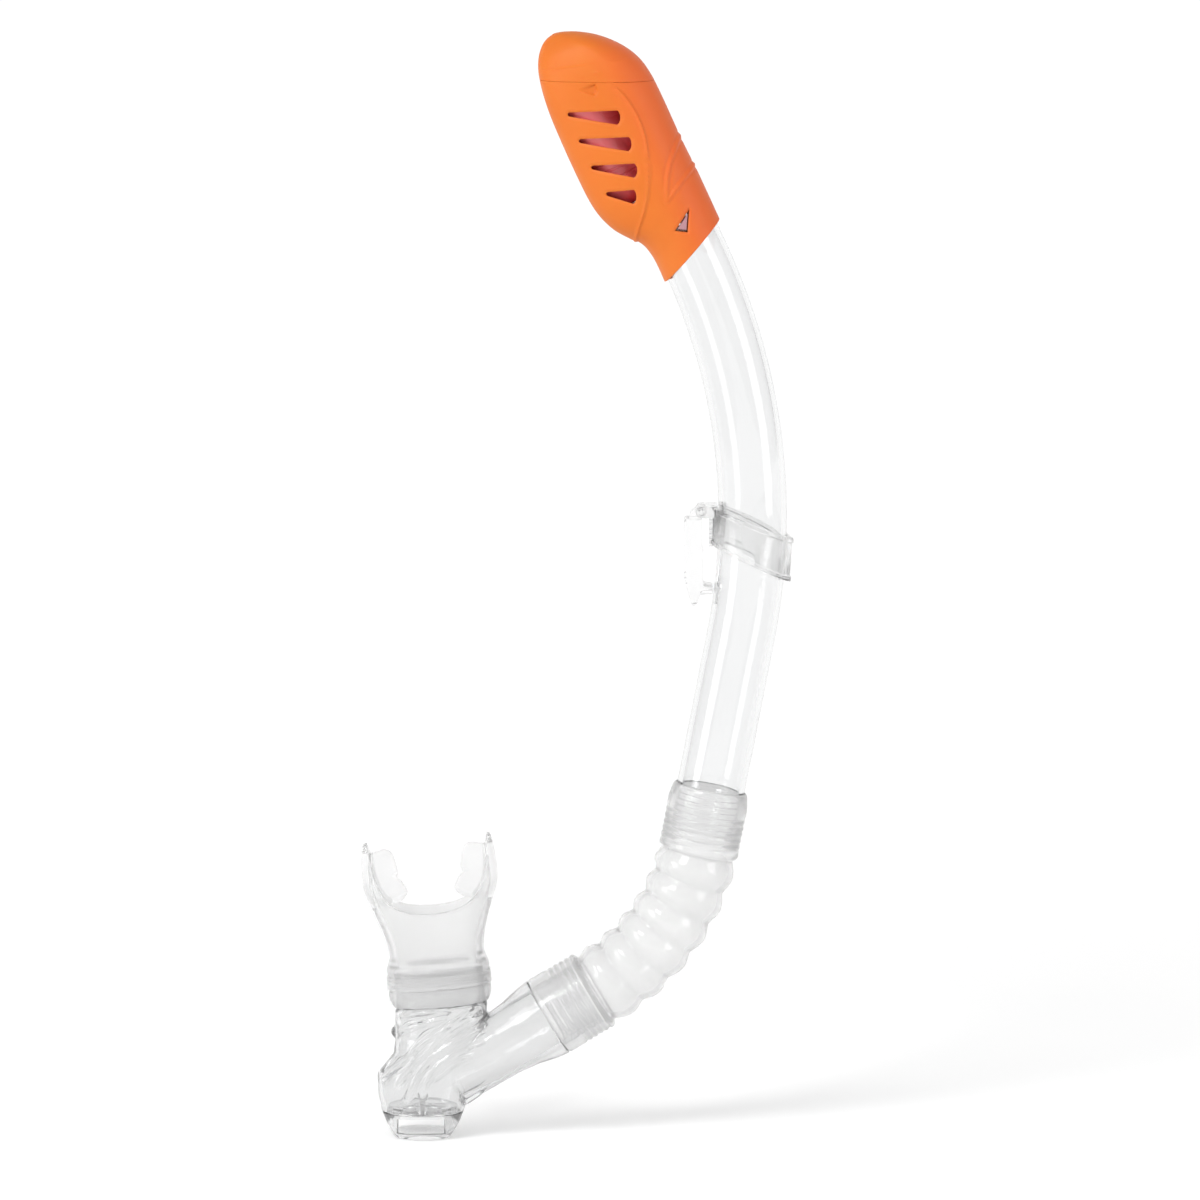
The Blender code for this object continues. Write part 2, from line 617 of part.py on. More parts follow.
def build_hose(material, parent):
    """Soft hose with a cuff at each end and convolutions round its bend."""
    bend = math.radians(HOSE_BEND_DEG) * HOSE_BEND_RADIUS
    start = HOSE_STRAIGHT + 3.0
    pitch = (bend - 2.0) / CONVOLUTIONS
    finish = start + pitch * CONVOLUTIONS
    total = HOSE_STRAIGHT + bend + LOWER_CUFF
    outer = [(0.0, 13.5), (1.0, 14.0), (5.5, UPPER_CUFF_RADIUS), (start - 1.5, UPPER_CUFF_RADIUS)]
    middle = []
    for k in range(CONVOLUTIONS):
        for share, radius in ((0.0, HOSE_ROOT), (0.3, HOSE_PEAK - 0.3), (0.7, HOSE_PEAK - 0.3)):
            middle.append((start + pitch * (k + share), radius))
    middle.append((finish, HOSE_ROOT))
    outer += middle
    outer += [(finish + 2.0, LOWER_CUFF_RADIUS), (total, LOWER_CUFF_RADIUS)]
    inner = [(0.0, CUFF_BORE), (HOSE_OVERLAP + 1.0, CUFF_BORE), (HOSE_OVERLAP + 1.6, HOSE_ROOT - HOSE_WALL)]
    inner += [(distance, radius - HOSE_WALL) for distance, radius in middle]
    spigot_end = total - SPIGOT_LENGTH - 1.0
    inner += [(spigot_end - 0.6, HOSE_ROOT - HOSE_WALL), (spigot_end, CUFF_BORE), (total, CUFF_BORE)]
    rings = []
    for distance, radius in outer + inner[::-1]:
        centre, side = hose_station(distance)
        rings.append(oval(centre, side, radius, radius, count=24))
    bm = bmesh.new()
    loft(bm, rings, closed=True)
    piece("flex_hose", bm, material, parent)


# ---------------------------------------------------------------- elbow and purge

def bowl_ring(row, inset=0.0, z=None):
    """Oval ring of the spout and purge bowl, level below and leaning with the mouthpiece above."""
    height, left, right, depth = row
    centre = Vector(((left + right) / 2, 0, height if z is None else z))
    share = min(max((height - LEVEL_BELOW_Z) / (MOUTH_BASE[1] - LEVEL_BELOW_Z), 0), 1)
    return oval(centre, outward(MOUTH_LEAN_DEG * share), (right - left) / 2 - inset, depth - inset, 2.3)


def build_elbow(material, parent):
    """Rigid elbow: spigot for the hose, spout for the mouthpiece, bowl for the purge valve."""
    bm = bmesh.new()
    loft(bm, [bowl_ring(row) for row in BOWL])
    elbow = piece("elbow", bm, material, parent)
    bm = bmesh.new()
    profile = ((-SPIGOT_LENGTH, SPIGOT_RADIUS), (0.3, SPIGOT_RADIUS), *BARREL)
    turned(bm, SEAM, BARREL_DOWN, profile)
    combine(elbow, "UNION", helper("barrel_outside", bm, parent))
    bm = bmesh.new()
    rings = [bowl_ring(BOWL[0], ELBOW_WALL, BOWL[0][0] + 2)]
    rings += [bowl_ring(row, ELBOW_WALL) for row in BOWL]
    rings.append(bowl_ring(BOWL[-1], ELBOW_WALL, BOWL[-1][0] - 2))
    loft(bm, rings)
    combine(elbow, "DIFFERENCE", helper("bowl_inside", bm, parent))
    bm = bmesh.new()
    bore = SPIGOT_RADIUS - ELBOW_WALL
    turned(bm, SEAM, BARREL_DOWN, ((-SPIGOT_LENGTH - 2, bore), (28, bore), (42, bore - 1.2)))
    combine(elbow, "DIFFERENCE", helper("barrel_inside", bm, parent))
    return elbow


def build_purge(material, soft, parent, valve_parent):
    """Spoked seat, mushroom valve and vented cover under the bowl."""
    low, high = PURGE_SEAT_Z
    bm = bmesh.new()
    loft(bm, [bowl_ring(BOWL[-1], ELBOW_WALL + GAP, z) for z in (low, high)])
    seat = piece("purge_seat", bm, material, parent)
    bm = bmesh.new()
    for quarter in range(4):
        outline = []
        for radius, turns in ((8.6, range(0, 7)), (3.2, range(6, -1, -1))):
            for k in turns:
                angle = math.radians(90 * quarter + 9 + 12 * k)
                outline.append(Vector((PURGE_X + radius * math.cos(angle), radius * math.sin(angle), 0)))
        loft(bm, [[point + Vector((0, 0, z)) for point in outline] for z in (low - 1, high + 1)])
    rod(bm, Vector((PURGE_X, 0, low - 1)), Vector((PURGE_X, 0, high + 1)), PURGE_STEM + GAP)
    combine(seat, "DIFFERENCE", helper("purge_ports", bm, parent))

    bm = bmesh.new()
    top = low - GAP
    profile = (
        (top - 0.5, 0.5), (top - 0.9, 4.0), (top - 0.7, PURGE_VALVE_RADIUS), (top, PURGE_VALVE_RADIUS),
        (top - 0.1, PURGE_STEM + 0.2), (high + 1.8, PURGE_STEM), (high + 2.0, 1.5), (high + 2.8, 1.5),
        (high + 3.8, 0.8),
    )
    turned(bm, Vector((PURGE_X, 0, 0)), Vector((0, 0, 1)), profile, 24)
    piece("purge_valve", bm, soft, valve_parent)

    bm = bmesh.new()
    loft(bm, [bowl_ring(row) for row in COVER])
    cover = piece("purge_cover", bm, material, parent)
    bm = bmesh.new()
    rings = [bowl_ring(COVER[0], COVER_WALL, COVER[0][0] + 1)]
    rings += [bowl_ring(row, COVER_WALL) for row in COVER[:2]]
    rings.append(bowl_ring(COVER[2], COVER_WALL, COVER_FLOOR_Z))
    loft(bm, rings)
    combine(cover, "DIFFERENCE", helper("cover_inside", bm, parent))
    bm = bmesh.new()
    box(bm, (COVER_WINDOW_X[0], -20, COVER_WINDOW_Z[0]), (COVER_WINDOW_X[1], 20, COVER_WINDOW_Z[1]))
    combine(cover, "DIFFERENCE", helper("window_box", bm, parent))


# ---------------------------------------------------------------- mouthpiece

def mouth_ring(h, wide, deep, power=2.4):
    """Oval ring across the mouthpiece's axis."""
    return oval(mouth_point(h, 0), MOUTH_ACROSS, wide, deep, power)


def build_mouthpiece(material, tie_material, parent):
    """Soft mouthpiece: sleeve, flared neck, shield cut to a U, and two bite tabs."""
    wide, deep = SLEEVE
    groove = (wide - TIE_GROOVE, deep - TIE_GROOVE)
    low, high = TIE_BAND
    outer = [mouth_ring(0, wide - 1.6, deep - 1.2, 2.3), mouth_ring(3.5, wide, deep, 2.3)]
    outer += [mouth_ring(low - GAP, wide, deep, 2.3), mouth_ring(low - GAP, *groove, 2.3)]
    outer += [mouth_ring(high + GAP, *groove, 2.3), mouth_ring(high + GAP, wide, deep, 2.3)]
    outer += [mouth_ring(SLEEVE_TOP, wide, deep, 2.3)]
    outer += [mouth_ring(*row) for row in MOUTH_OUTER]
    bore = [mouth_ring(h, 16.4 + GAP + 0.1, 11.0 + GAP + 0.1, 2.3) for h in (0, 14.3)]
    inner = bore + [mouth_ring(*row) for row in MOUTH_INNER]
    bm = bmesh.new()
    loft(bm, outer)
    mouthpiece = piece("mouthpiece", bm, material, parent)
    bm = bmesh.new()
    inner.insert(0, mouth_ring(-2, 16.8, 11.4, 2.3))
    loft(bm, inner)
    combine(mouthpiece, "DIFFERENCE", helper("mouth_bore", bm, parent))
    bm = bmesh.new()
    outline = [mouth_point(h, x) for x, h in U_CUT[::-1]] + [mouth_point(h, -x) for x, h in U_CUT[1:]]
    prism(bm, flat_outline(outline), -20, 20)
    combine(mouthpiece, "DIFFERENCE", helper("u_cutter", bm, parent))
    for side, name in ((-1, "left_tab"), (1, "right_tab")):
        bm = bmesh.new()
        outline = flat_outline([mouth_point(h, side * x) for x, h in BITE_TAB])
        prism(bm, outline, -BITE_HALF_DEPTH, BITE_HALF_DEPTH)
        combine(mouthpiece, "UNION", helper(name, bm, parent))

    inside = (groove[0] + GAP, groove[1] + GAP)
    outside = (wide + 0.3, deep + 0.3)
    rings = [mouth_ring(h, *size, 2.3) for size, h in ((outside, low), (outside, high), (inside, high), (inside, low))]
    bm = bmesh.new()
    loft(bm, rings, closed=True)
    tie = piece("mouthpiece_tie", bm, tie_material, parent)
    bm = bmesh.new()
    head = [mouth_point(h, x) for h, x in ((low - 0.6, -3), (low - 0.6, 3), (high + 0.6, 3), (high + 0.6, -3))]
    prism(bm, flat_outline(head), deep + 0.05, deep + 3.0)
    combine(tie, "UNION", helper("tie_head", bm, parent))


# ---------------------------------------------------------------- assembly

def main():
    """Clear the scene and build every piece."""
    for obj in list(bpy.data.objects):
        bpy.data.objects.remove(obj, do_unlink=True)

    clear = plastic("clear_plastic", (0.93, 0.95, 0.96), 0.06, 0.9)
    silicone = plastic("milky_silicone", (0.92, 0.93, 0.93), 0.38, 0.5)
    mouth_silicone = plastic("clear_silicone", (0.94, 0.95, 0.95), 0.3, 0.6)
    orange = plastic("orange_plastic", (0.93, 0.24, 0.03), 0.32)
    crimson = plastic("crimson_plastic", (0.42, 0.03, 0.04), 0.35)
    seal = plastic("seal_rubber", (0.35, 0.08, 0.1), 0.5)

    float_pivot = pivot("float_slide", cap_point(FLOAT_BOTTOM, FLOAT_T))
    keeper_pivot = pivot("keeper_slide", (ARC_CENTRE[0], 0, ARC_CENTRE[1]))
    hook_pivot = pivot("hook_hinge", (HOOK_HINGE[0], 0, HOOK_HINGE[1]))
    hose_pivot = pivot("hose_twist", BEND_START)
    elbow_pivot = pivot("hose_flex", BEND_MIDDLE)
    valve_pivot = pivot("purge_lift", (PURGE_X, 0, PURGE_SEAT_Z[0]))

    build_tube(clear)
    build_cap_body(orange)
    build_cap_dome(orange)
    build_valve_carrier(crimson)
    build_float(crimson, seal, float_pivot)
    build_o_ring(seal)
    build_keeper(clear, clear, keeper_pivot, hook_pivot)
    build_hose(silicone, hose_pivot)
    build_elbow(clear, elbow_pivot)
    build_purge(clear, mouth_silicone, elbow_pivot, valve_pivot)
    build_mouthpiece(mouth_silicone, clear, elbow_pivot)


main()
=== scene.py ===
"""Looks of a dry-top snorkel: clear tube, orange float-valve cap, milky hose, purge elbow, soft mouthpiece."""

import json
import logging
import math
from dataclasses import dataclass
from enum import Enum
from typing import Callable, Sequence

import bmesh
import bpy
from mathutils import Matrix, Vector


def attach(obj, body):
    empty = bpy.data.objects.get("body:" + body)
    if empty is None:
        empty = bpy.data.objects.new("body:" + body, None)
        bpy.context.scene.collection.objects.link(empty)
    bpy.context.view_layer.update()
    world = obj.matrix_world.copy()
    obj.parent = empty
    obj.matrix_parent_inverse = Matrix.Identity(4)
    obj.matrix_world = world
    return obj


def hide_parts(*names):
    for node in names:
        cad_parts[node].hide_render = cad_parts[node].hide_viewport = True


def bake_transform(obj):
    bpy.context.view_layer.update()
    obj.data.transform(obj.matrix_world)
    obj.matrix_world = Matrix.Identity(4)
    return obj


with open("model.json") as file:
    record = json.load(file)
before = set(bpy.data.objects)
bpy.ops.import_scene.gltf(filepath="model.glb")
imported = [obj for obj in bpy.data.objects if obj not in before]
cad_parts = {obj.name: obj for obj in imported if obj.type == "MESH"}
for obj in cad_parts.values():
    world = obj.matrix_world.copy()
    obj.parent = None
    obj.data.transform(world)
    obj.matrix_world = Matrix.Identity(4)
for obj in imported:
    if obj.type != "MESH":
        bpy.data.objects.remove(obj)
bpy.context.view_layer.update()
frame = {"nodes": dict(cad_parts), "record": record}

logging.basicConfig(level=logging.INFO, format="%(message)s")
LOG = logging.getLogger("snorkel")

MM = 0.001
ALONG_Y = Vector((0.0, 1.0, 0.0))
RingPoint = Callable[[float], Vector]


class Body(Enum):
    """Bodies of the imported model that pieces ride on."""

    TUBE = "snorkel_tube"
    FLOAT = "float_block"
    KEEPER = "keeper"
    HOOK = "hook"
    HOSE = "hose"
    ELBOW = "elbow_group"
    FLAP = "purge_flap"


# ---------------------------------------------------------------- curves and frames

@dataclass(frozen=True)
class SmoothCurve:
    """A smooth value through a few (x, y) points, flat outside them."""

    points: tuple[tuple[float, float], ...]

    def at(self, x: float) -> float:
        """Value of the curve.

        Args:
            x: where to read it.

        Returns:
            The value there.
        """
        points = self.points
        if x <= points[0][0]:
            return points[0][1]
        if x >= points[-1][0]:
            return points[-1][1]
        i = max(k for k in range(len(points) - 1) if points[k][0] <= x)
        before, low, high = points[max(i - 1, 0)], points[i], points[i + 1]
        after = points[min(i + 2, len(points) - 1)]
        width = high[0] - low[0]
        u = (x - low[0]) / width
        slope_low = (high[1] - before[1]) / (high[0] - before[0]) * width
        slope_high = (after[1] - low[1]) / (after[0] - low[0]) * width
        rise = (2 * u**3 - 3 * u**2 + 1) * low[1] + (3 * u**2 - 2 * u**3) * high[1]
        return rise + (u**3 - 2 * u**2 + u) * slope_low + (u**3 - u**2) * slope_high


def smoothstep(low: float, high: float, x: float) -> float:
    """Soft step from 0 at low to 1 at high."""
    u = min(max((x - low) / (high - low), 0.0), 1.0)
    return u * u * (3 - 2 * u)


def signed_power(value: float, power: float) -> float:
    """The power of a value's size, with the value's own sign."""
    return math.copysign(abs(value) ** power, value)


def spread(low: float, high: float, count: int) -> list[float]:
    """Evenly spaced values from low to high, both included."""
    return [low + (high - low) * k / (count - 1) for k in range(count)]


def tilt_up(degrees: float) -> Vector:
    """Direction that leans left of straight up by an angle."""
    return Vector((-math.sin(math.radians(degrees)), 0, math.cos(math.radians(degrees))))


def tilt_across(degrees: float) -> Vector:
    """Direction across a leaning axis, to the right."""
    return Vector((math.cos(math.radians(degrees)), 0, math.sin(math.radians(degrees))))


def joint_facts(name: str) -> dict:
    """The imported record's facts on one joint."""
    return next(j for j in frame["record"]["behaviour"]["joints"] if j["name"] == name)


@dataclass(frozen=True)
class LocalFrame:
    """An upright axis leaning in the XZ plane: up along it, across to the right, y to the back."""

    origin: Vector
    lean: float

    def at(self, up: float, across: float, y: float = 0.0) -> Vector:
        """Point of the frame, from sizes in millimetres."""
        flat = tilt_up(self.lean) * up + tilt_across(self.lean) * across
        return self.origin + (flat + ALONG_Y * y) * MM

    def read(self, point: Vector) -> tuple[float, float, float]:
        """The up, across and y of a point, in millimetres."""
        rel = (point - self.origin) / MM
        return rel.dot(tilt_up(self.lean)), rel.dot(tilt_across(self.lean)), rel.y


@dataclass(frozen=True)
class CentreLine:
    """The bent line through tube and hose, worked out from the model's joints."""

    arc_radius: float = 227.5
    arc_low: float = -11.0
    arc_high: float = 24.5
    cap_above_arc: float = 4.6
    hose_straight: float = 22.0
    bend_radius: float = 79.0
    bend_degrees: float = 48.0
    lower_cuff: float = 21.6
    below_arc: float = 79.9

    def arc_point(self, degrees: float, out: float = 0.0) -> Vector:
        """Point at an angle on the tube's arc, moved out from the arc's centre."""
        centre = Vector(joint_facts("keeper_slide")["pos_m"])
        return centre + tilt_across(degrees) * (self.arc_radius + out) * MM

    def bend_start(self) -> Vector:
        """Where the hose starts to bend."""
        return Vector(joint_facts("hose_twist")["pos_m"])

    def cap_frame(self) -> LocalFrame:
        """The cap's frame, its origin on the tube's line near the cap's lower edge."""
        origin = self.arc_point(self.arc_high) + tilt_up(self.arc_high) * self.cap_above_arc * MM
        return LocalFrame(origin, self.arc_high)

    def tube_station(self, distance: float) -> tuple[Vector, float]:
        """Centre and lean of the tube at a distance up from the hose's bend.

        Args:
            distance: millimetres along the line.

        Returns:
            The point, and the lean in degrees.
        """
        if distance <= self.below_arc:
            return self.bend_start() + tilt_up(self.arc_low) * distance * MM, self.arc_low
        degrees = self.arc_low + math.degrees((distance - self.below_arc) / self.arc_radius)
        if degrees <= self.arc_high:
            return self.arc_point(degrees), degrees
        rest = math.radians(degrees - self.arc_high) * self.arc_radius
        return self.arc_point(self.arc_high) + tilt_up(self.arc_high) * rest * MM, self.arc_high

    def cap_distance(self, up: float) -> float:
        """Distance along the tube of a height in the cap's frame."""
        arc = math.radians(self.arc_high - self.arc_low) * self.arc_radius
        return self.below_arc + arc + self.cap_above_arc + up

    def hose_station(self, distance: float) -> tuple[Vector, float]:
        """Centre and lean of the hose at a distance down from its upper end."""
        length = math.radians(self.bend_degrees) * self.bend_radius
        start = self.bend_start()
        if distance <= self.hose_straight:
            return start + tilt_up(self.arc_low) * (self.hose_straight - distance) * MM, self.arc_low
        centre = start - tilt_across(self.arc_low) * self.bend_radius * MM
        turned = math.degrees(min(distance - self.hose_straight, length) / self.bend_radius)
        lean = self.arc_low - turned
        point = centre + tilt_across(lean) * self.bend_radius * MM
        rest = max(distance - self.hose_straight - length, 0.0)
        return point - tilt_up(lean) * rest * MM, lean

    def hose_length(self) -> float:
        """Whole length of the hose, cuffs included."""
        bend = math.radians(self.bend_degrees) * self.bend_radius
        return self.hose_straight + bend + self.lower_cuff


LINE = CentreLine()
# the snap window in the cap, and the lug in it, as (up, across) in the cap's frame
SNAP_WINDOW = ((15.1, 5.6), (10.1, -2.4), (7.7, 1.6))


# ---------------------------------------------------------------- mesh tools

def oval(centre: Vector, across: Vector, wide: float, deep: float, power: float = 2.0) -> RingPoint:
    """Ring formula: an oval round a centre, its width across and its depth along Y.

    Args:
        centre: middle of the ring, in metres.
        across: unit direction of its width.
        wide: half width in millimetres.
        deep: half depth in millimetres.
        power: 2 for an ellipse, more for squarer sides.

    Returns:
        A function from angle to point.
    """

    def point(angle: float) -> Vector:
        """Point of the ring at an angle."""
        right = wide * signed_power(math.cos(angle), 2 / power)
        back = deep * signed_power(math.sin(angle), 2 / power)
        return centre + (across * right + ALONG_Y * back) * MM

    return point


def extrude_ring(bm: bmesh.types.BMesh, ring: list[bmesh.types.BMVert]) -> list[bmesh.types.BMVert]:
    """Extrude a closed ring of edges and return the new ring in the same order."""
    edges = [bm.edges.get((ring[k - 1], ring[k])) for k in range(len(ring))]
    grown = bmesh.ops.extrude_edge_only(bm, edges=edges)["geom"]
    fresh = {item for item in grown if isinstance(item, bmesh.types.BMVert)}
    return [next(e.other_vert(v) for e in v.link_edges if e.other_vert(v) in fresh) for v in ring]


def sweep(rings: Sequence[RingPoint], segments: int, closed: bool = False) -> bmesh.types.BMesh:
    """Grow a skin ring by ring from a circle.

    Args:
        rings: ring formulas in order.
        segments: points round each ring.
        closed: join the last ring to the first, as for a wall with an inside; otherwise cap both ends.

    Returns:
        The mesh, its faces pointing out.
    """
    bm = bmesh.new()
    angles = [2 * math.pi * k / segments for k in range(segments)]
    bmesh.ops.create_circle(bm, segments=segments, radius=1.0)
    bm.verts.ensure_lookup_table()
    ring = list(bm.verts)
    first = ring
    for index, formula in enumerate(rings):
        if index:
            ring = extrude_ring(bm, ring)
        for vert, angle in zip(ring, angles):
            vert.co = formula(angle)
    ends = [bm.edges.get((r[k - 1], r[k])) for r in (first, ring) for k in range(segments)]
    if closed:
        bmesh.ops.bridge_loops(bm, edges=ends)
    else:
        for loop in (first, ring):
            edges = [bm.edges.get((loop[k - 1], loop[k])) for k in range(segments)]
            bmesh.ops.contextual_create(bm, geom=edges)
    bmesh.ops.recalc_face_normals(bm, faces=bm.faces)
    return bm


def prism(outline: Sequence[Vector], y_low: float, y_high: float) -> bmesh.types.BMesh:
    """Solid with an outline in the XZ plane, extruded along Y between two depths in millimetres."""
    bm = bmesh.new()
    verts = [bm.verts.new(point + ALONG_Y * (y_low * MM - point.y)) for point in outline]
    face = bm.faces.new(verts)
    grown = bmesh.ops.extrude_face_region(bm, geom=[face])["geom"]
    top = [item for item in grown if isinstance(item, bmesh.types.BMVert)]
    bmesh.ops.translate(bm, verts=top, vec=ALONG_Y * (y_high - y_low) * MM)
    bmesh.ops.recalc_face_normals(bm, faces=bm.faces)
    return bm


def side_view(outline: Sequence[tuple[float, float]]) -> list[Vector]:
    """Points in the middle plane, from (x, z) pairs in millimetres."""
    return [Vector((x, 0, z)) * MM for x, z in outline]


def turned(place: LocalFrame, profile: Sequence[tuple[float, float]], steps: int) -> bmesh.types.BMesh:
    """Spin a profile of (height, radius) points in millimetres round a frame's axis."""
    bm = bmesh.new()
    verts = [bm.verts.new(place.at(up, radius)) for up, radius in profile]
    edges = [bm.edges.new(pair) for pair in zip(verts, verts[1:])]
    bmesh.ops.spin(
        bm, geom=verts + edges, cent=place.origin, axis=tilt_up(place.lean), angle=2 * math.pi,
        steps=steps, use_merge=True, use_duplicate=False,
    )
    bmesh.ops.remove_doubles(bm, verts=bm.verts, dist=1e-6)
    bmesh.ops.recalc_face_normals(bm, faces=bm.faces)
    return bm


def soften(bm: bmesh.types.BMesh, width: float, segments: int = 3, angle: float = 40.0) -> None:
    """Bevel every edge that is sharper than an angle; width in millimetres."""
    sharp = [e for e in bm.edges if len(e.link_faces) == 2 and e.calc_face_angle() > math.radians(angle)]
    bmesh.ops.bevel(
        bm, geom=sharp, offset=width * MM, segments=segments, profile=0.5, affect="EDGES",
        clamp_overlap=True, material=-1,
    )


def crisp(mesh: bpy.types.Mesh, degrees: float) -> None:
    """Shade a mesh smooth, apart from edges sharper than an angle."""
    mesh.shade_smooth()
    mesh.set_sharp_from_angle(angle=math.radians(degrees))


def finished(name: str, bm: bmesh.types.BMesh, angle: float = 35.0) -> bpy.types.Object:
    """Turn a bmesh into a smooth-shaded object at the origin."""
    mesh = bpy.data.meshes.new(name)
    bm.to_mesh(mesh)
    bm.free()
    crisp(mesh, angle)
    obj = bpy.data.objects.new(name, mesh)
    bpy.context.scene.collection.objects.link(obj)
    return obj


def apply_modifiers(obj: bpy.types.Object) -> None:
    """Replace an object's mesh with what its modifiers make, and drop them."""
    bpy.context.view_layer.update()
    evaluated = obj.evaluated_get(bpy.context.evaluated_depsgraph_get())
    mesh = bpy.data.meshes.new_from_object(evaluated)
    obj.modifiers.clear()
    old = obj.data
    obj.data = mesh
    bpy.data.meshes.remove(old)
    mesh.name = obj.name


def combine(target: bpy.types.Object, tool: bmesh.types.BMesh, operation: str) -> None:
    """Join to, cut from or intersect a piece with a shape."""
    helper = finished("helper", tool)
    modifier = target.modifiers.new("combine", "BOOLEAN")
    modifier.operation = operation
    modifier.solver = "EXACT"
    modifier.object = helper
    apply_modifiers(target)
    bpy.data.objects.remove(helper, do_unlink=True)


def melt(obj: bpy.types.Object, voxel: float, rounds: int) -> None:
    """Remesh a joined piece evenly and relax it, so that its inner corners get soft fillets.

    Args:
        obj: the piece.
        voxel: size of the even faces in millimetres.
        rounds: how many times it is relaxed.
    """
    remesh = obj.modifiers.new("even", "REMESH")
    remesh.mode = "VOXEL"
    remesh.voxel_size = voxel * MM
    remesh.use_smooth_shade = True
    apply_modifiers(obj)
    bm = bmesh.new()
    bm.from_mesh(obj.data)
    for _ in range(rounds):
        bmesh.ops.smooth_vert(bm, verts=bm.verts, factor=0.5, use_axis_x=True, use_axis_y=True, use_axis_z=True)
    bm.to_mesh(obj.data)
    bm.free()
    obj.data.shade_smooth()


def joined(parts: Sequence[bmesh.types.BMesh]) -> bmesh.types.BMesh:
    """Put several separate shapes into one mesh."""
    whole = bmesh.new()
    for part in parts:
        spare = bpy.data.meshes.new("spare")
        part.to_mesh(spare)
        part.free()
        whole.from_mesh(spare)
        bpy.data.meshes.remove(spare)
    return whole


def line_distance(point: tuple[float, float], line: Sequence[tuple[float, float]]) -> float:
    """Distance from an open line of points."""
    x, y = point
    best = 1e9
    for (ax, ay), (bx, by) in zip(line, line[1:]):
        length = (bx - ax) ** 2 + (by - ay) ** 2
        u = min(max(((x - ax) * (bx - ax) + (y - ay) * (by - ay)) / length, 0), 1)
        best = min(best, math.hypot(x - ax - u * (bx - ax), y - ay - u * (by - ay)))
    return best


def outline_distance(point: tuple[float, float], corners: Sequence[tuple[float, float]]) -> float:
    """Signed distance from a closed outline, negative inside."""
    x, y = point
    closed = [*corners, corners[0]]
    best, inside = line_distance(point, closed), False
    for (ax, ay), (bx, by) in zip(closed, closed[1:]):
        if (ay > y) != (by > y) and x < (bx - ax) * (y - ay) / (by - ay) + ax:
            inside = not inside
    return -best if inside else best


# ---------------------------------------------------------------- finishes

def shader_group(name: str, inputs: dict[str, float], outputs: dict[str, str]) -> tuple:
    """Start a shader node group.

    Args:
        name: the group's name.
        inputs: float inputs and their defaults.
        outputs: output names and socket types.

    Returns:
        The group, its input node and its output node.
    """
    group = bpy.data.node_groups.new(name, "ShaderNodeTree")
    for label, value in inputs.items():
        socket = group.interface.new_socket(label, in_out="INPUT", socket_type="NodeSocketFloat")
        socket.default_value = value
    for label, kind in outputs.items():
        group.interface.new_socket(label, in_out="OUTPUT", socket_type=kind)
    return group, group.nodes.new("NodeGroupInput"), group.nodes.new("NodeGroupOutput")


def moulded_skin() -> bpy.types.NodeTree:
    """Group: fine moulding texture, slow ripples and faint handling haze, as a height and a haze mask."""
    group, start, end = shader_group(
        "moulded_skin",
        {"Grain Size": 900.0, "Ripple Size": 60.0, "Grain": 0.5, "Ripple": 0.5, "Haze Size": 35.0},
        {"Height": "NodeSocketFloat", "Haze": "NodeSocketFloat"},
    )
    nodes, links = group.nodes, group.links
    place = nodes.new("ShaderNodeTexCoord")
    grain, ripple, haze = (nodes.new("ShaderNodeTexNoise") for _ in range(3))
    grain.inputs["Detail"].default_value = 3.0
    ripple.inputs["Detail"].default_value = 1.0
    haze.inputs["Detail"].default_value = 4.0
    haze.inputs["Distortion"].default_value = 0.6
    for noise, label in ((grain, "Grain Size"), (ripple, "Ripple Size"), (haze, "Haze Size")):
        links.new(place.outputs["Object"], noise.inputs["Vector"])
        links.new(start.outputs[label], noise.inputs["Scale"])
    parts = []
    for noise, label in ((grain, "Grain"), (ripple, "Ripple")):
        times = nodes.new("ShaderNodeMath")
        times.operation = "MULTIPLY"
        links.new(noise.outputs["Fac"], times.inputs[0])
        links.new(start.outputs[label], times.inputs[1])
        parts.append(times)
    total = nodes.new("ShaderNodeMath")
    total.operation = "ADD"
    links.new(parts[0].outputs[0], total.inputs[0])
    links.new(parts[1].outputs[0], total.inputs[1])
    links.new(total.outputs[0], end.inputs["Height"])
    mask = nodes.new("ShaderNodeMapRange")
    mask.inputs["From Min"].default_value = 0.35
    mask.inputs["From Max"].default_value = 0.75
    links.new(haze.outputs["Fac"], mask.inputs["Value"])
    links.new(mask.outputs["Result"], end.inputs["Haze"])
    return group


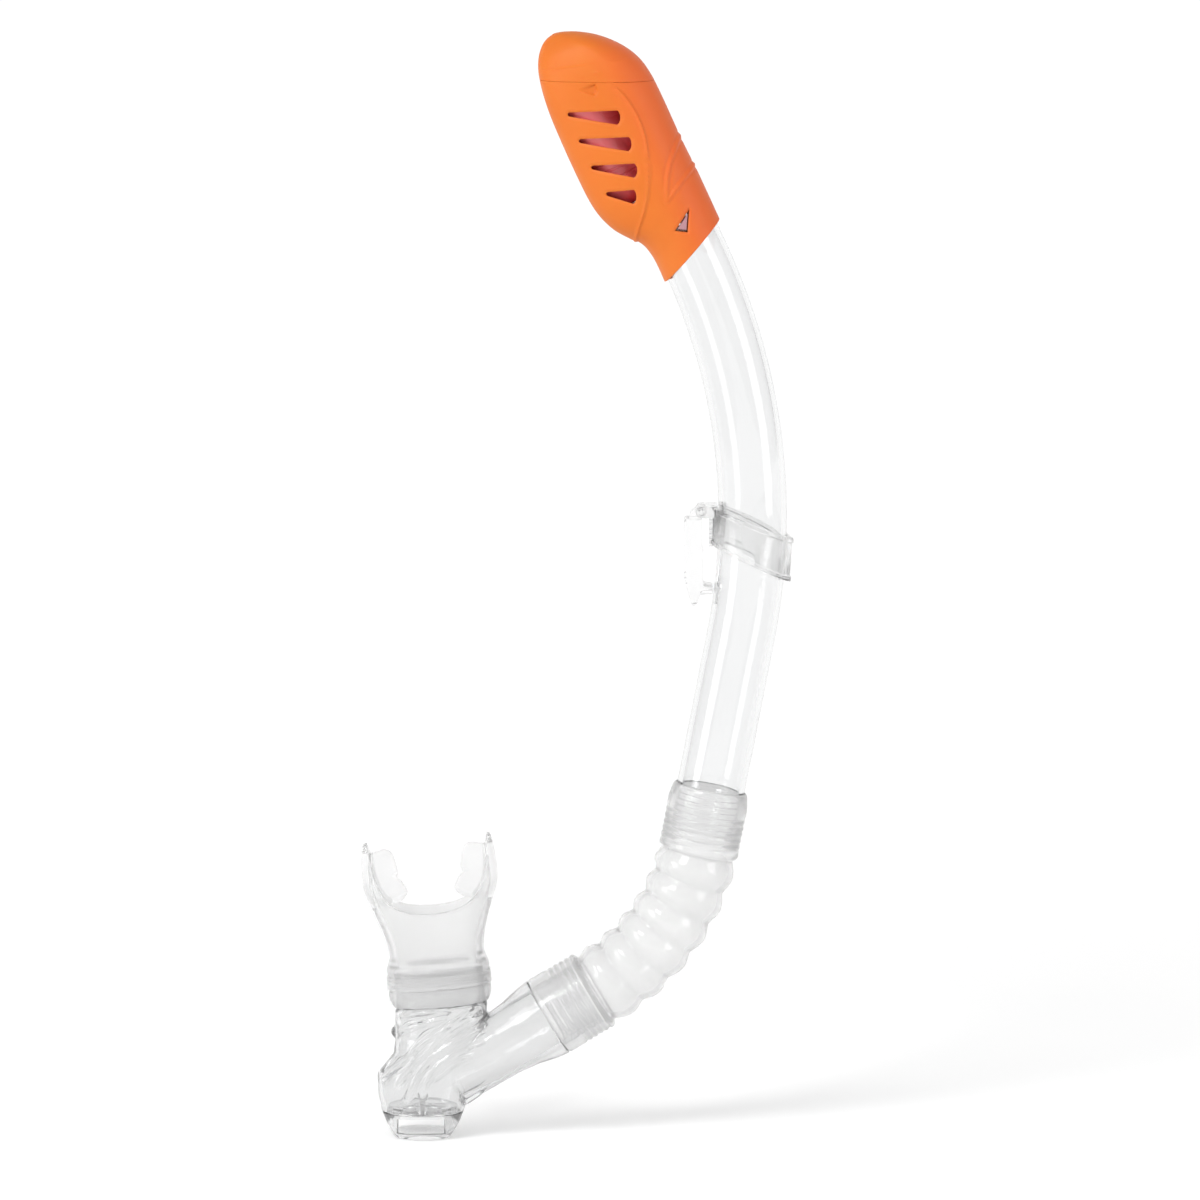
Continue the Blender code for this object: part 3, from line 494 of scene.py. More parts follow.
@dataclass(frozen=True)
class Finish:
    """A moulded plastic or silicone, clear or opaque."""

    name: str
    colour: tuple[float, float, float]
    second: tuple[float, float, float]
    smoothest: float
    roughest: float
    transmission: float = 0.0
    ior: float = 1.49
    subsurface: float = 0.0
    scatter: tuple[float, float, float] = (1.0, 1.0, 1.0)
    scatter_mm: float = 1.0
    coat: float = 0.0
    grain: float = 0.3
    ripple: float = 1.0
    grain_size: float = 1200.0
    ripple_size: float = 70.0
    bump_mm: float = 0.02
    # painted glow: an optional redder colour towards the cap's right side, standing in for light shining
    # through the thicker orange plastic
    painted_glow_colour: tuple[float, float, float] | None = None
    painted_glow_from_mm: float = -8.0
    painted_glow_to_mm: float = 11.0

    def build(self, skin: bpy.types.NodeTree) -> bpy.types.Material:
        """Make the material.

        Args:
            skin: the shared moulding group.

        Returns:
            The node-based material.
        """
        material = bpy.data.materials.new(self.name)
        material.use_nodes = True
        nodes, links = material.node_tree.nodes, material.node_tree.links
        shader = nodes["Principled BSDF"]
        shader.inputs["Metallic"].default_value = 0.0
        shader.inputs["IOR"].default_value = self.ior
        shader.inputs["Transmission Weight"].default_value = self.transmission
        shader.inputs["Subsurface Weight"].default_value = self.subsurface
        shader.inputs["Subsurface Radius"].default_value = self.scatter
        shader.inputs["Subsurface Scale"].default_value = self.scatter_mm * MM
        shader.inputs["Coat Weight"].default_value = self.coat
        shader.inputs["Coat Roughness"].default_value = 0.12
        surface = nodes.new("ShaderNodeGroup")
        surface.node_tree = skin
        surface.inputs["Grain"].default_value = self.grain
        surface.inputs["Ripple"].default_value = self.ripple
        surface.inputs["Grain Size"].default_value = self.grain_size
        surface.inputs["Ripple Size"].default_value = self.ripple_size
        tint = nodes.new("ShaderNodeMix")
        tint.data_type = "RGBA"
        tint.inputs["A"].default_value = (*self.colour, 1.0)
        tint.inputs["B"].default_value = (*self.second, 1.0)
        links.new(surface.outputs["Haze"], tint.inputs["Factor"])
        colour = tint.outputs["Result"]
        # painted glow: redder towards the cap's right side
        if self.painted_glow_colour:
            colour = self.paint_side_glow(nodes, links, colour)
        links.new(colour, shader.inputs["Base Color"])
        rough = nodes.new("ShaderNodeMapRange")
        rough.inputs["To Min"].default_value = self.smoothest
        rough.inputs["To Max"].default_value = self.roughest
        links.new(surface.outputs["Haze"], rough.inputs["Value"])
        links.new(rough.outputs["Result"], shader.inputs["Roughness"])
        bump = nodes.new("ShaderNodeBump")
        bump.inputs["Distance"].default_value = self.bump_mm * MM
        links.new(surface.outputs["Height"], bump.inputs["Height"])
        links.new(bump.outputs["Normal"], shader.inputs["Normal"])
        return material

    def paint_side_glow(
        self, nodes: bpy.types.Nodes, links: bpy.types.NodeLinks, colour: bpy.types.NodeSocket
    ) -> bpy.types.NodeSocket:
        """Paint glow: redden the colour towards the cap's right side, standing in for light shining through the
        thicker orange plastic there.

        Args:
            nodes: the material's nodes.
            links: the material's links.
            colour: the colour so far.

        Returns:
            The socket of the new colour.
        """
        place, side, span, mixed = (
            nodes.new("ShaderNode" + kind) for kind in ("TexCoord", "VectorMath", "MapRange", "Mix")
        )
        side.operation = "DOT_PRODUCT"
        side.inputs[1].default_value = tilt_across(LINE.arc_high)
        middle = LINE.cap_frame().origin.dot(tilt_across(LINE.arc_high))
        span.interpolation_type = "SMOOTHSTEP"
        span.inputs["From Min"].default_value = middle + self.painted_glow_from_mm * MM
        span.inputs["From Max"].default_value = middle + self.painted_glow_to_mm * MM
        mixed.data_type = "RGBA"
        mixed.inputs["B"].default_value = (*self.painted_glow_colour, 1.0)
        links.new(place.outputs["Object"], side.inputs[0])
        links.new(side.outputs["Value"], span.inputs["Value"])
        links.new(span.outputs["Result"], mixed.inputs["Factor"])
        links.new(colour, mixed.inputs["A"])
        return mixed.outputs["Result"]


class Finishes:
    """Every finish of the snorkel, built once."""

    def __init__(self) -> None:
        """Build the shared group and the materials."""
        skin = moulded_skin()
        self.clear = Finish(
            "clear_plastic", (0.945, 0.947, 0.948), (0.93, 0.932, 0.933), 0.02, 0.06,
            transmission=1.0, ior=1.49, grain=0.1, ripple=1.0, ripple_size=45.0, bump_mm=0.04,
        ).build(skin)
        # painted shade: the clear snap lugs get an opaque dull rosy grey that stands in for the shade inside
        # the cap and the red light from its orange walls
        self.painted_shade_lug = Finish(
            "lug_plastic_painted_shade", (0.4, 0.2, 0.22), (0.36, 0.17, 0.2), 0.15, 0.25, coat=0.5, bump_mm=0.02,
        ).build(skin)
        self.cast = Finish(
            "cast_clear_plastic", (0.915, 0.917, 0.918), (0.885, 0.887, 0.888), 0.04, 0.1,
            transmission=0.91, ior=1.42, grain=0.1, ripple=1.0, ripple_size=45.0, bump_mm=0.04,
        ).build(skin)
        self.hazy = Finish(
            "hazy_clear_plastic", (0.98, 0.98, 0.98), (0.96, 0.96, 0.96), 0.05, 0.12,
            transmission=0.88, ior=1.38, grain=0.1, ripple=1.0, ripple_size=45.0, bump_mm=0.04,
        ).build(skin)
        self.milky = Finish(
            "milky_silicone", (0.985, 0.985, 0.985), (0.965, 0.965, 0.965), 0.08, 0.16,
            transmission=0.76, ior=1.35, grain=0.3, ripple=0.8, bump_mm=0.03,
        ).build(skin)
        self.soft_clear = Finish(
            "clear_silicone", (0.945, 0.945, 0.945), (0.915, 0.915, 0.915), 0.16, 0.28,
            transmission=0.78, ior=1.33, grain=0.4, ripple=1.0, bump_mm=0.03,
        ).build(skin)
        # the orange's painted glow colour reddens the cap's right side, standing in for light shining through
        # the thicker plastic
        self.orange = Finish(
            "orange_plastic", (0.665, 0.16, 0.014), (0.63, 0.145, 0.012), 0.48, 0.6,
            ior=1.38, subsurface=0.2, scatter=(1.0, 0.35, 0.12), scatter_mm=1.5,
            grain=0.8, ripple=0.4, grain_size=2200.0, bump_mm=0.02, painted_glow_colour=(0.67, 0.12, 0.022),
        ).build(skin)
        # painted glow: the float's and insert's bright crimson is partly their own red and partly stands in for
        # orange light coming through the cap's walls into the shaded chamber
        self.crimson_painted_glow = Finish(
            "crimson_plastic", (0.93, 0.2, 0.22), (0.86, 0.16, 0.18), 0.18, 0.32,
            subsurface=0.15, scatter=(1.0, 0.2, 0.15), scatter_mm=1.0, coat=0.5, bump_mm=0.02,
        ).build(skin)
        self.seal = Finish(
            "seal_rubber", (0.45, 0.09, 0.11), (0.4, 0.07, 0.09), 0.4, 0.55, bump_mm=0.03,
        ).build(skin)


def dress(obj: bpy.types.Object, material: bpy.types.Material) -> None:
    """Give a piece one material."""
    obj.data.materials.clear()
    obj.data.materials.append(material)


def settle(
    obj: bpy.types.Object, material: bpy.types.Material, nodes: Sequence[str], body: Body | None
) -> bpy.types.Object:
    """Dress a piece and tie it to the frame.

    Args:
        obj: the piece.
        material: its finish.
        nodes: CAD nodes it replaces.
        body: the body it rides on, or None to tie it to no body.

    Returns:
        The piece.
    """
    dress(obj, material)
    if nodes:
        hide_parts(*nodes)
    if body:
        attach(obj, body.value)
    LOG.info("%s: %d faces", obj.name, len(obj.data.polygons))
    return obj


# ---------------------------------------------------------------- tube

@dataclass
class BreathingTube:
    """Clear tube: straight, then arched, with barbs at its foot and snap lugs at its head."""

    radius: float = 12.6
    bore: float = 10.7
    foot: float = 2.0
    head_in_cap: float = 22.0
    barb_depth: float = 0.55
    barb_pitch: float = 2.15
    barb_count: int = 8
    groove_at: float = 17.5
    groove_depth: float = 1.2
    lip: float = 0.5
    segments: int = 128
    lug_share: float = 0.72
    lug_height: float = 0.85
    lug_gap: float = 0.02
    lug_root: float = 9.0
    lug_cut_top: float = 20.0
    lug_cut_length: float = 24.0
    window: tuple = SNAP_WINDOW

    def outside(self) -> list[tuple[float, float]]:
        """Outer profile from foot to head, as (distance, radius) in millimetres."""
        head = LINE.cap_distance(self.head_in_cap)
        profile = [(self.foot, self.radius - self.lip), (self.foot + self.lip, self.radius - 0.05)]
        at = self.foot + 1.6
        for _ in range(self.barb_count):
            low = self.radius - self.barb_depth
            crest = at + self.barb_pitch - 0.5
            profile += [(at, self.radius), (at + 0.2, low), (at + 0.6, low), (crest, self.radius - 0.03)]
            at += self.barb_pitch
        profile.append((at, self.radius))
        groove = LINE.cap_distance(self.groove_at)
        profile += [(d, self.radius) for d in spread(at + 2, groove - 1.1, 210)]
        base = self.radius - self.groove_depth
        profile += [(groove - 1.0, self.radius - 0.1), (groove - 0.95, base)]
        profile += [(groove + 0.95, base), (groove + 1.0, self.radius - 0.1)]
        profile += [(groove + 1.1, self.radius), (head - self.lip, self.radius), (head, self.radius - self.lip)]
        return profile

    def inside(self) -> list[tuple[float, float]]:
        """Bore profile from head to foot."""
        head = LINE.cap_distance(self.head_in_cap)
        profile = [(head, self.bore + self.lip), (head - self.lip, self.bore)]
        profile += [(d, self.bore) for d in spread(head - 2, self.foot + 2, 150)]
        return profile + [(self.foot + self.lip, self.bore), (self.foot, self.bore + self.lip)]

    def build(self, finishes: Finishes) -> None:
        """Make the tube and its lugs."""
        rings = []
        for distance, radius in self.outside() + self.inside():
            centre, lean = LINE.tube_station(distance)
            rings.append(oval(centre, tilt_across(lean), radius, radius))
        tube = finished("clear_tube", sweep(rings, self.segments, closed=True), 50)
        settle(tube, finishes.clear, ["tube"], Body.TUBE)
        self.snap_lugs(finishes)

    def snap_lugs(self, finishes: Finishes) -> None:
        """Make the two raised lugs that the cap's windows snap over."""
        cap = LINE.cap_frame()
        middle = [sum(c) / 3 for c in zip(*self.window)]
        corners = [[m + self.lug_share * (c - m) for c, m in zip(corner, middle)] for corner in self.window]
        outline = [cap.at(up, across) for up, across in corners]
        lugs = []
        for side in (-1, 1):
            lugs.append(prism(outline, *sorted((side * self.lug_root, side * (self.radius + self.lug_height)))))
            soften(lugs[-1], 0.3, 3, 40)
        piece = finished("snap_lugs", joined(lugs), 40)
        skin, top = self.radius + self.lug_gap, LINE.cap_distance(self.lug_cut_top)
        stations = [LINE.tube_station(d) for d in spread(top - self.lug_cut_length, top, 12)]
        rings = [oval(centre, tilt_across(lean), skin, skin) for centre, lean in stations]
        combine(piece, sweep(rings, 96), "DIFFERENCE")
        crisp(piece.data, 40)
        # the lugs' rosy grey is painted shade; the lugs themselves are clear plastic
        settle(piece, finishes.painted_shade_lug, [], Body.TUBE)


# ---------------------------------------------------------------- cap

@dataclass
class DryTopCap:
    """Orange float-valve cap: slotted housing and lid."""

    wall: float = 1.6
    neck_wall: float = 1.05
    edge_up: float = -0.3
    edge_slope: float = 0.458
    seam_up: float = 68.8
    seam_gap: float = 0.05
    segments: int = 300
    left: SmoothCurve = SmoothCurve((
        (-9, -13.95), (2, -13.95), (7.4, -14.9), (10.4, -16.4), (13.3, -19.0), (19.2, -23.2),
        (27, -26.0), (37, -27.0), (61, -27.0), (72.5, -26.2), (81.4, -24.5), (86.8, -22.3),
        (90.6, -19.3), (92.5, -16.4), (93.3, -13.2),
    ))
    right: SmoothCurve = SmoothCurve((
        (-9, 13.95), (25, 13.9), (37, 13.5), (61, 13.4), (69.6, 12.4), (75.5, 10.2),
        (81.2, 6.3), (86.6, 0.8), (90.5, -5.2), (92.5, -9.8), (93.3, -12.8),
    ))
    depth: SmoothCurve = SmoothCurve((
        (-9, 13.95), (10, 14.1), (25, 14.9), (45, 15.5), (62, 15.2), (75, 13.6), (84, 11.0),
        (89, 7.6), (92.3, 3.4), (93.3, 0.2),
    ))
    ridge: SmoothCurve = SmoothCurve((
        (9.6, -18.2), (14.3, -15.4), (23.8, -7.4), (36.8, -0.7), (48.8, 2.6), (61.2, 1.9), (72.6, -2.6),
    ))
    slot_top: float = 166.7
    slot_pitch: float = 9.7
    slot_half: float = 2.85
    slot_wide: tuple = (-30.5, -26.4, -24.3, -24.6)
    slot_tip: tuple = (-49.4, -45.3, -40.8, -35.3)
    window: tuple = SNAP_WINDOW
    crease: tuple = (
        (14.0, 40.6), (10.1, 37.2), (6.3, 33.4), (3.0, 28.8), (0.1, 23.0), (-0.5, 21.2),
        (6.1, 24.8), (14.0, 28.6),
    )
    panel_depth: float = 0.3
    panel_blend: float = 5.0
    panel_foot: tuple = (3, 14)
    panel_head: tuple = (64, 71)
    ridge_height: float = 0.48
    crease_height: float = 0.34
    lip_depth: float = 0.6
    peak: float = 93.2
    seam_dot: tuple = (-38.6, 182.8)
    arrow: tuple = ((-46.5, 176.4), (-39.6, 179.1), (-38.7, 176.6), (-39.6, 174.4))

    def seam_slope(self) -> float:
        """Tilt that makes the seam level."""
        return -math.tan(math.radians(LINE.arc_high))

    def slope(self, up: float) -> float:
        """Tilt of the housing's rings, from its cut lower edge to the level seam."""
        share = (up - self.edge_up) / (self.seam_up - self.edge_up)
        return self.edge_slope + (self.seam_slope() - self.edge_slope) * share

    def ring(self, up: float, slope: float, inset: float = 0.0) -> RingPoint:
        """Ring formula round the cap in a tilted plane, shrunk by an inset in millimetres."""
        left, right = -20.0, 13.0
        for _ in range(14):
            left = self.left.at(up + slope * left)
            right = self.right.at(up + slope * right)
        middle = 0.0 if right > 11 else right + (left - right) * 0.35
        square = 2.0 + 0.6 * min(max((up - 8) / 20, 0), 1) * min(max((92 - up) / 14, 0), 1)
        deep = max(self.depth.at(up) - inset, 0.15)
        cap = LINE.cap_frame()

        def point(angle: float) -> Vector:
            """Point of the ring at an angle."""
            cos, sin = math.cos(angle), math.sin(angle)
            if cos >= 0:
                across = middle + (right - inset - middle) * cos
                return cap.at(up + slope * across, across, deep * sin)
            across = middle - (middle - left - inset) * abs(cos) ** (2 / square)
            return cap.at(up + slope * across, across, deep * signed_power(sin, 2 / square))

        return point

    def slots(self) -> list[list[tuple[float, float]]]:
        """Wedge outlines of the slots, as world (x, z) points in millimetres."""
        shapes = []
        for k, (wide, tip) in enumerate(zip(self.slot_wide, self.slot_tip)):
            z, half = self.slot_top - self.slot_pitch * k, self.slot_half
            corner = []
            for j in range(7):
                angle = math.radians(75 - 25 * j)
                corner.append((wide - 1.5 + 1.5 * math.cos(angle), z - 0.1 + (half - 0.15) * math.sin(angle)))
            point = [(tip + 0.3, z), (tip - 0.2, z + 0.35), (tip - 0.35, z + 0.85)]
            point += [(tip - 0.1, z + 1.3), (tip + 0.4, z + 1.55)]
            shapes.append(point + corner)
        return shapes

    def detail(self, bm: bmesh.types.BMesh) -> None:
        """Press the moulded detail into the housing: panel ridge, creases, rounded slot lips, blind arrow."""
        cap = LINE.cap_frame()
        slots = self.slots()
        window = [(p.x / MM, p.z / MM) for p in (cap.at(up, across) for up, across in self.window)]
        bm.normal_update()
        moves = []
        for vert in bm.verts:
            up, across, y = cap.read(vert.co)
            flat = (vert.co.x / MM, vert.co.z / MM)
            push = 0.0
            beyond = across - self.ridge.at(up)
            fade = math.exp(-max(beyond, 0) / self.panel_blend)
            fade = fade * smoothstep(*self.panel_foot, up) * (1 - smoothstep(*self.panel_head, up))
            push -= self.panel_depth * smoothstep(-0.3, 0.45, beyond) * fade
            push += self.ridge_height * math.exp(-((beyond + 0.4) / 0.6) ** 2) * fade
            if across > -4 and 17 < up < 45:
                reach = line_distance((across, up), self.crease)
                push += self.crease_height * math.exp(-((reach / 0.6) ** 2))
                push -= 0.16 * math.exp(-(((reach - 1.3) / 0.5) ** 2))
            if abs(y) > 4:
                near = min(outline_distance(flat, shape) for shape in slots)
                near = min(near, outline_distance(flat, window))
                if near < 1.0:
                    push -= self.lip_depth * (1 - max(near, 0.0)) ** 2
                arrow = outline_distance(flat, self.arrow)
                depth = 0.25 + 0.75 * smoothstep(-46, -40, flat[0])
                push -= depth * (1 - smoothstep(-0.55, 0.1, arrow))
            moves.append((vert, vert.normal * push * MM))
        for vert, move in moves:
            vert.co += move

    def housing(self, finishes: Finishes) -> None:
        """Make the slotted housing."""
        top = self.seam_up - self.seam_gap / 2
        heights = spread(self.edge_up, top, 165)
        outer = [self.ring(self.edge_up, self.slope(self.edge_up), 0.45)]
        outer += [self.ring(up, self.slope(up)) for up in [self.edge_up + 0.25] + heights[1:-1]]
        outer += [self.ring(top - 0.08, self.slope(top), 0.02), self.ring(top, self.slope(top), 0.1)]
        shell = sweep(outer, self.segments)
        self.detail(shell)
        body = finished("cap_housing", shell, 40)
        inside = []
        for up in [self.edge_up - 1.5] + spread(self.edge_up, top, 34) + [top + 1.5]:
            inset = self.neck_wall if up < 19 else self.wall
            inside.append(self.ring(up, self.slope(up), inset))
        combine(body, sweep(inside, 112), "DIFFERENCE")
        cap = LINE.cap_frame()
        shapes = [side_view(shape) for shape in self.slots()]
        shapes.append([cap.at(up, across) for up, across in self.window])
        combine(body, joined([prism(outline, -20, 20) for outline in shapes]), "DIFFERENCE")
        crisp(body.data, 40)
        settle(body, finishes.orange, ["cap_body"], Body.TUBE)

    def lid(self, finishes: Finishes) -> None:
        """Make the domed lid above the seam."""
        start = self.seam_up + self.seam_gap / 2
        tops = [start + (self.peak - start) * math.sin(math.radians(a)) for a in spread(0, 90, 70)]
        outer = [self.ring(start, self.seam_slope(), 0.1)]
        for up in tops:
            share = min((up - start) / 22, 1)
            outer.append(self.ring(up + 0.12 * (1 - share), self.seam_slope() * (1 - share)))
        shell = sweep(outer, 200)
        shell.normal_update()
        x, z = self.seam_dot
        for vert in shell.verts:
            reach = math.hypot(vert.co.x / MM - x, vert.co.z / MM - z)
            if abs(vert.co.y) > 4 * MM and reach < 3:
                vert.co += vert.normal * 0.3 * math.exp(-((reach / 0.75) ** 2)) * MM
        dome = finished("cap_lid", shell, 40)
        inside = [self.ring(start - 1.0, self.seam_slope(), self.wall)]
        for up in spread(start, self.peak - 3.5, 24):
            share = min((up - start) / 22, 1)
            inside.append(self.ring(up - self.wall * share, self.seam_slope() * (1 - share), self.wall))
        combine(dome, sweep(inside, 112), "DIFFERENCE")
        low = self.seam_up - 2.2
        lip = (
            (low, 1.75), (self.seam_up + 0.2, 1.66), (self.seam_up + 0.3, 1.1),
            (start + 1.5, 1.1), (start + 1.5, 2.5), (low, 2.5),
        )
        rings = [self.ring(up, self.seam_slope(), inset) for up, inset in lip]
        combine(dome, sweep(rings, 160, closed=True), "UNION")
        crisp(dome.data, 40)
        settle(dome, finishes.orange, ["cap_dome"], Body.TUBE)

    def build(self, finishes: Finishes) -> None:
        """Make both shells."""
        self.housing(finishes)
        self.lid(finishes)


@dataclass
class FloatValve:
    """Dark red float, its soft seal and the insert they move in; the neck's O-ring keeps its model shape. The
    float's and insert's bright crimson is partly their own red and partly painted glow, for the orange light
    that comes through the cap's walls into the shaded chamber.
    """

    across: float = -13.2
    radius: float = 9.5
    bottom: float = 24.8
    top: float = 48.0
    seal_radius: float = 8.4
    seal_thickness: float = 1.7
    gap: float = 0.3
    collar: tuple = (58.0, 67.0, 7.4, 8.6)
    bore: float = 5.4
    plate: tuple = (58.9, 60.6)
    cage: tuple = (9.95, 10.75)
    cage_low: float = 44.0
    port: tuple = (52.5, 57.5, 4.5)
    duct_across: float = 7.2
    duct_half: tuple = (3.8, 8.5)
    partition: tuple = (
        (-19.0, 23.7), (-12.5, 23.6), (-7.8, 25.0), (-3.2, 29.6), (0.1, 36.5), (1.8, 45.0),
        (2.2, 53.0), (2.2, 59.6),
    )
    partition_wall: float = 1.4
    wall: float = 1.9

    def carrier(self, housing: DryTopCap, finishes: Finishes) -> None:
        """Make the red insert: seat plate with its collar, float cage, and the wall beside the air duct."""
        cap = LINE.cap_frame()
        place = LocalFrame(cap.at(0, self.across), cap.lean)
        plate = sweep([housing.ring(up, housing.seam_slope(), self.wall) for up in self.plate], 96)
        insert = finished("valve_insert", plate)
        low, high, narrow, wide = self.collar
        combine(insert, turned(place, ((low, 0.0), (low, narrow), (high, wide), (high, 0.0)), 64), "UNION")
        inner, outer = self.cage
        top = self.cage_low + 28
        foot = self.cage_low
        ring = ((foot, inner), (foot, outer), (top, outer), (top, inner), (foot, inner))
        cage = finished("float_cage", turned(place, ring, 64))
        down, up, half = self.port
        corners = [cap.at(a, b) for a, b in ((down, -30), (up, -30), (up, 3), (down, 3))]
        combine(cage, prism(corners, -half, half), "DIFFERENCE")
        shape = bmesh.new()
        shape.from_mesh(cage.data)
        bpy.data.objects.remove(cage, do_unlink=True)
        combine(insert, shape, "UNION")
        combine(insert, self.partition_wall_shape(), "UNION")
        heights = (22.6, 26, 30, 36, 44, 52, 59, self.plate[1])
        slopes = [housing.seam_slope() * min((h - heights[0]) / 30, 1) for h in heights]
        fit = [housing.ring(h, slope, self.wall) for h, slope in zip(heights, slopes)]
        combine(insert, sweep(fit, 96), "INTERSECT")
        bore = ((low - 1, 0.0), (low - 1, self.bore), (high + 6, self.bore), (high + 6, 0.0))
        combine(insert, turned(place, bore, 64), "DIFFERENCE")
        duct = [oval(cap.at(h, self.duct_across), tilt_across(cap.lean), *self.duct_half) for h in (50, 64)]
        combine(insert, sweep(duct, 64), "DIFFERENCE")
        crisp(insert.data, 35)
        settle(insert, finishes.crimson_painted_glow, ["valve_carrier"], Body.TUBE)

    def partition_wall_shape(self) -> bmesh.types.BMesh:
        """The curved wall between float chamber and air duct, across the whole depth."""
        cap = LINE.cap_frame()
        curve = [SmoothCurve(tuple((k, p[j]) for k, p in enumerate(self.partition))) for j in (0, 1)]
        left, right = [], []
        for u in spread(0, len(self.partition) - 1, 36):
            along = Vector([c.at(u + 0.02) - c.at(u - 0.02) for c in curve]).normalized()
            across, up = (c.at(u) for c in curve)
            half = self.partition_wall / 2
            left.append(cap.at(up + along.x * half, across - along.y * half))
            right.append(cap.at(up - along.x * half, across + along.y * half))
        return prism(left + right[::-1], -20, 20)

    def build(self, finishes: Finishes) -> None:
        """Make the float, its seal and the insert they move in."""
        cap = LINE.cap_frame()
        place = LocalFrame(cap.at(0, self.across), cap.lean)
        bowl = []
        for k in range(1, 15):
            angle = math.radians(90 * k / 14)
            bowl.append((self.bottom + self.radius * (1 - math.cos(angle)), self.radius * math.sin(angle)))
        shoulder = []
        for k in range(6):
            angle = math.radians(90 * k / 5)
            shoulder.append((self.top - 1.2 + 1.2 * math.sin(angle), self.radius - 1.2 + 1.2 * math.cos(angle)))
        ribs = []
        for k in range(3):
            at = self.bottom + self.radius + 1.6 + 3.2 * k
            dip = self.radius - 0.35
            ribs += [(at, self.radius), (at + 0.25, dip), (at + 0.8, dip), (at + 1.05, self.radius)]
        stud = [(self.top, 2.0), (self.top + 1.0, 2.0), (self.top + 1.2, 1.8), (self.top + 1.2, 0.0)]
        profile = [(self.bottom, 0.0), *bowl, *ribs, *shoulder, *stud]
        block = finished("float_block", turned(place, profile, 64), 35)
        settle(block, finishes.crimson_painted_glow, ["float"], Body.FLOAT)
        base, hole, rim = self.top + self.gap, 2.3, self.seal_radius
        high = base + self.seal_thickness
        profile = [
            (base, hole), (base, rim - 0.3), (base + 0.3, rim), (high - 0.5, rim), (high, rim - 0.6),
            (high, rim - 1.6), (high - 0.25, rim - 2.2), (high - 0.25, hole + 0.2),
            (base + 0.4, hole), (base, hole),
        ]
        disc = finished("float_seal_disc", turned(place, profile, 64), 35)
        settle(disc, finishes.seal, ["float_seal"], Body.FLOAT)
        self.carrier(DryTopCap(), finishes)
        dress(frame["nodes"]["neck_o_ring"], finishes.seal)


# ---------------------------------------------------------------- strap keeper

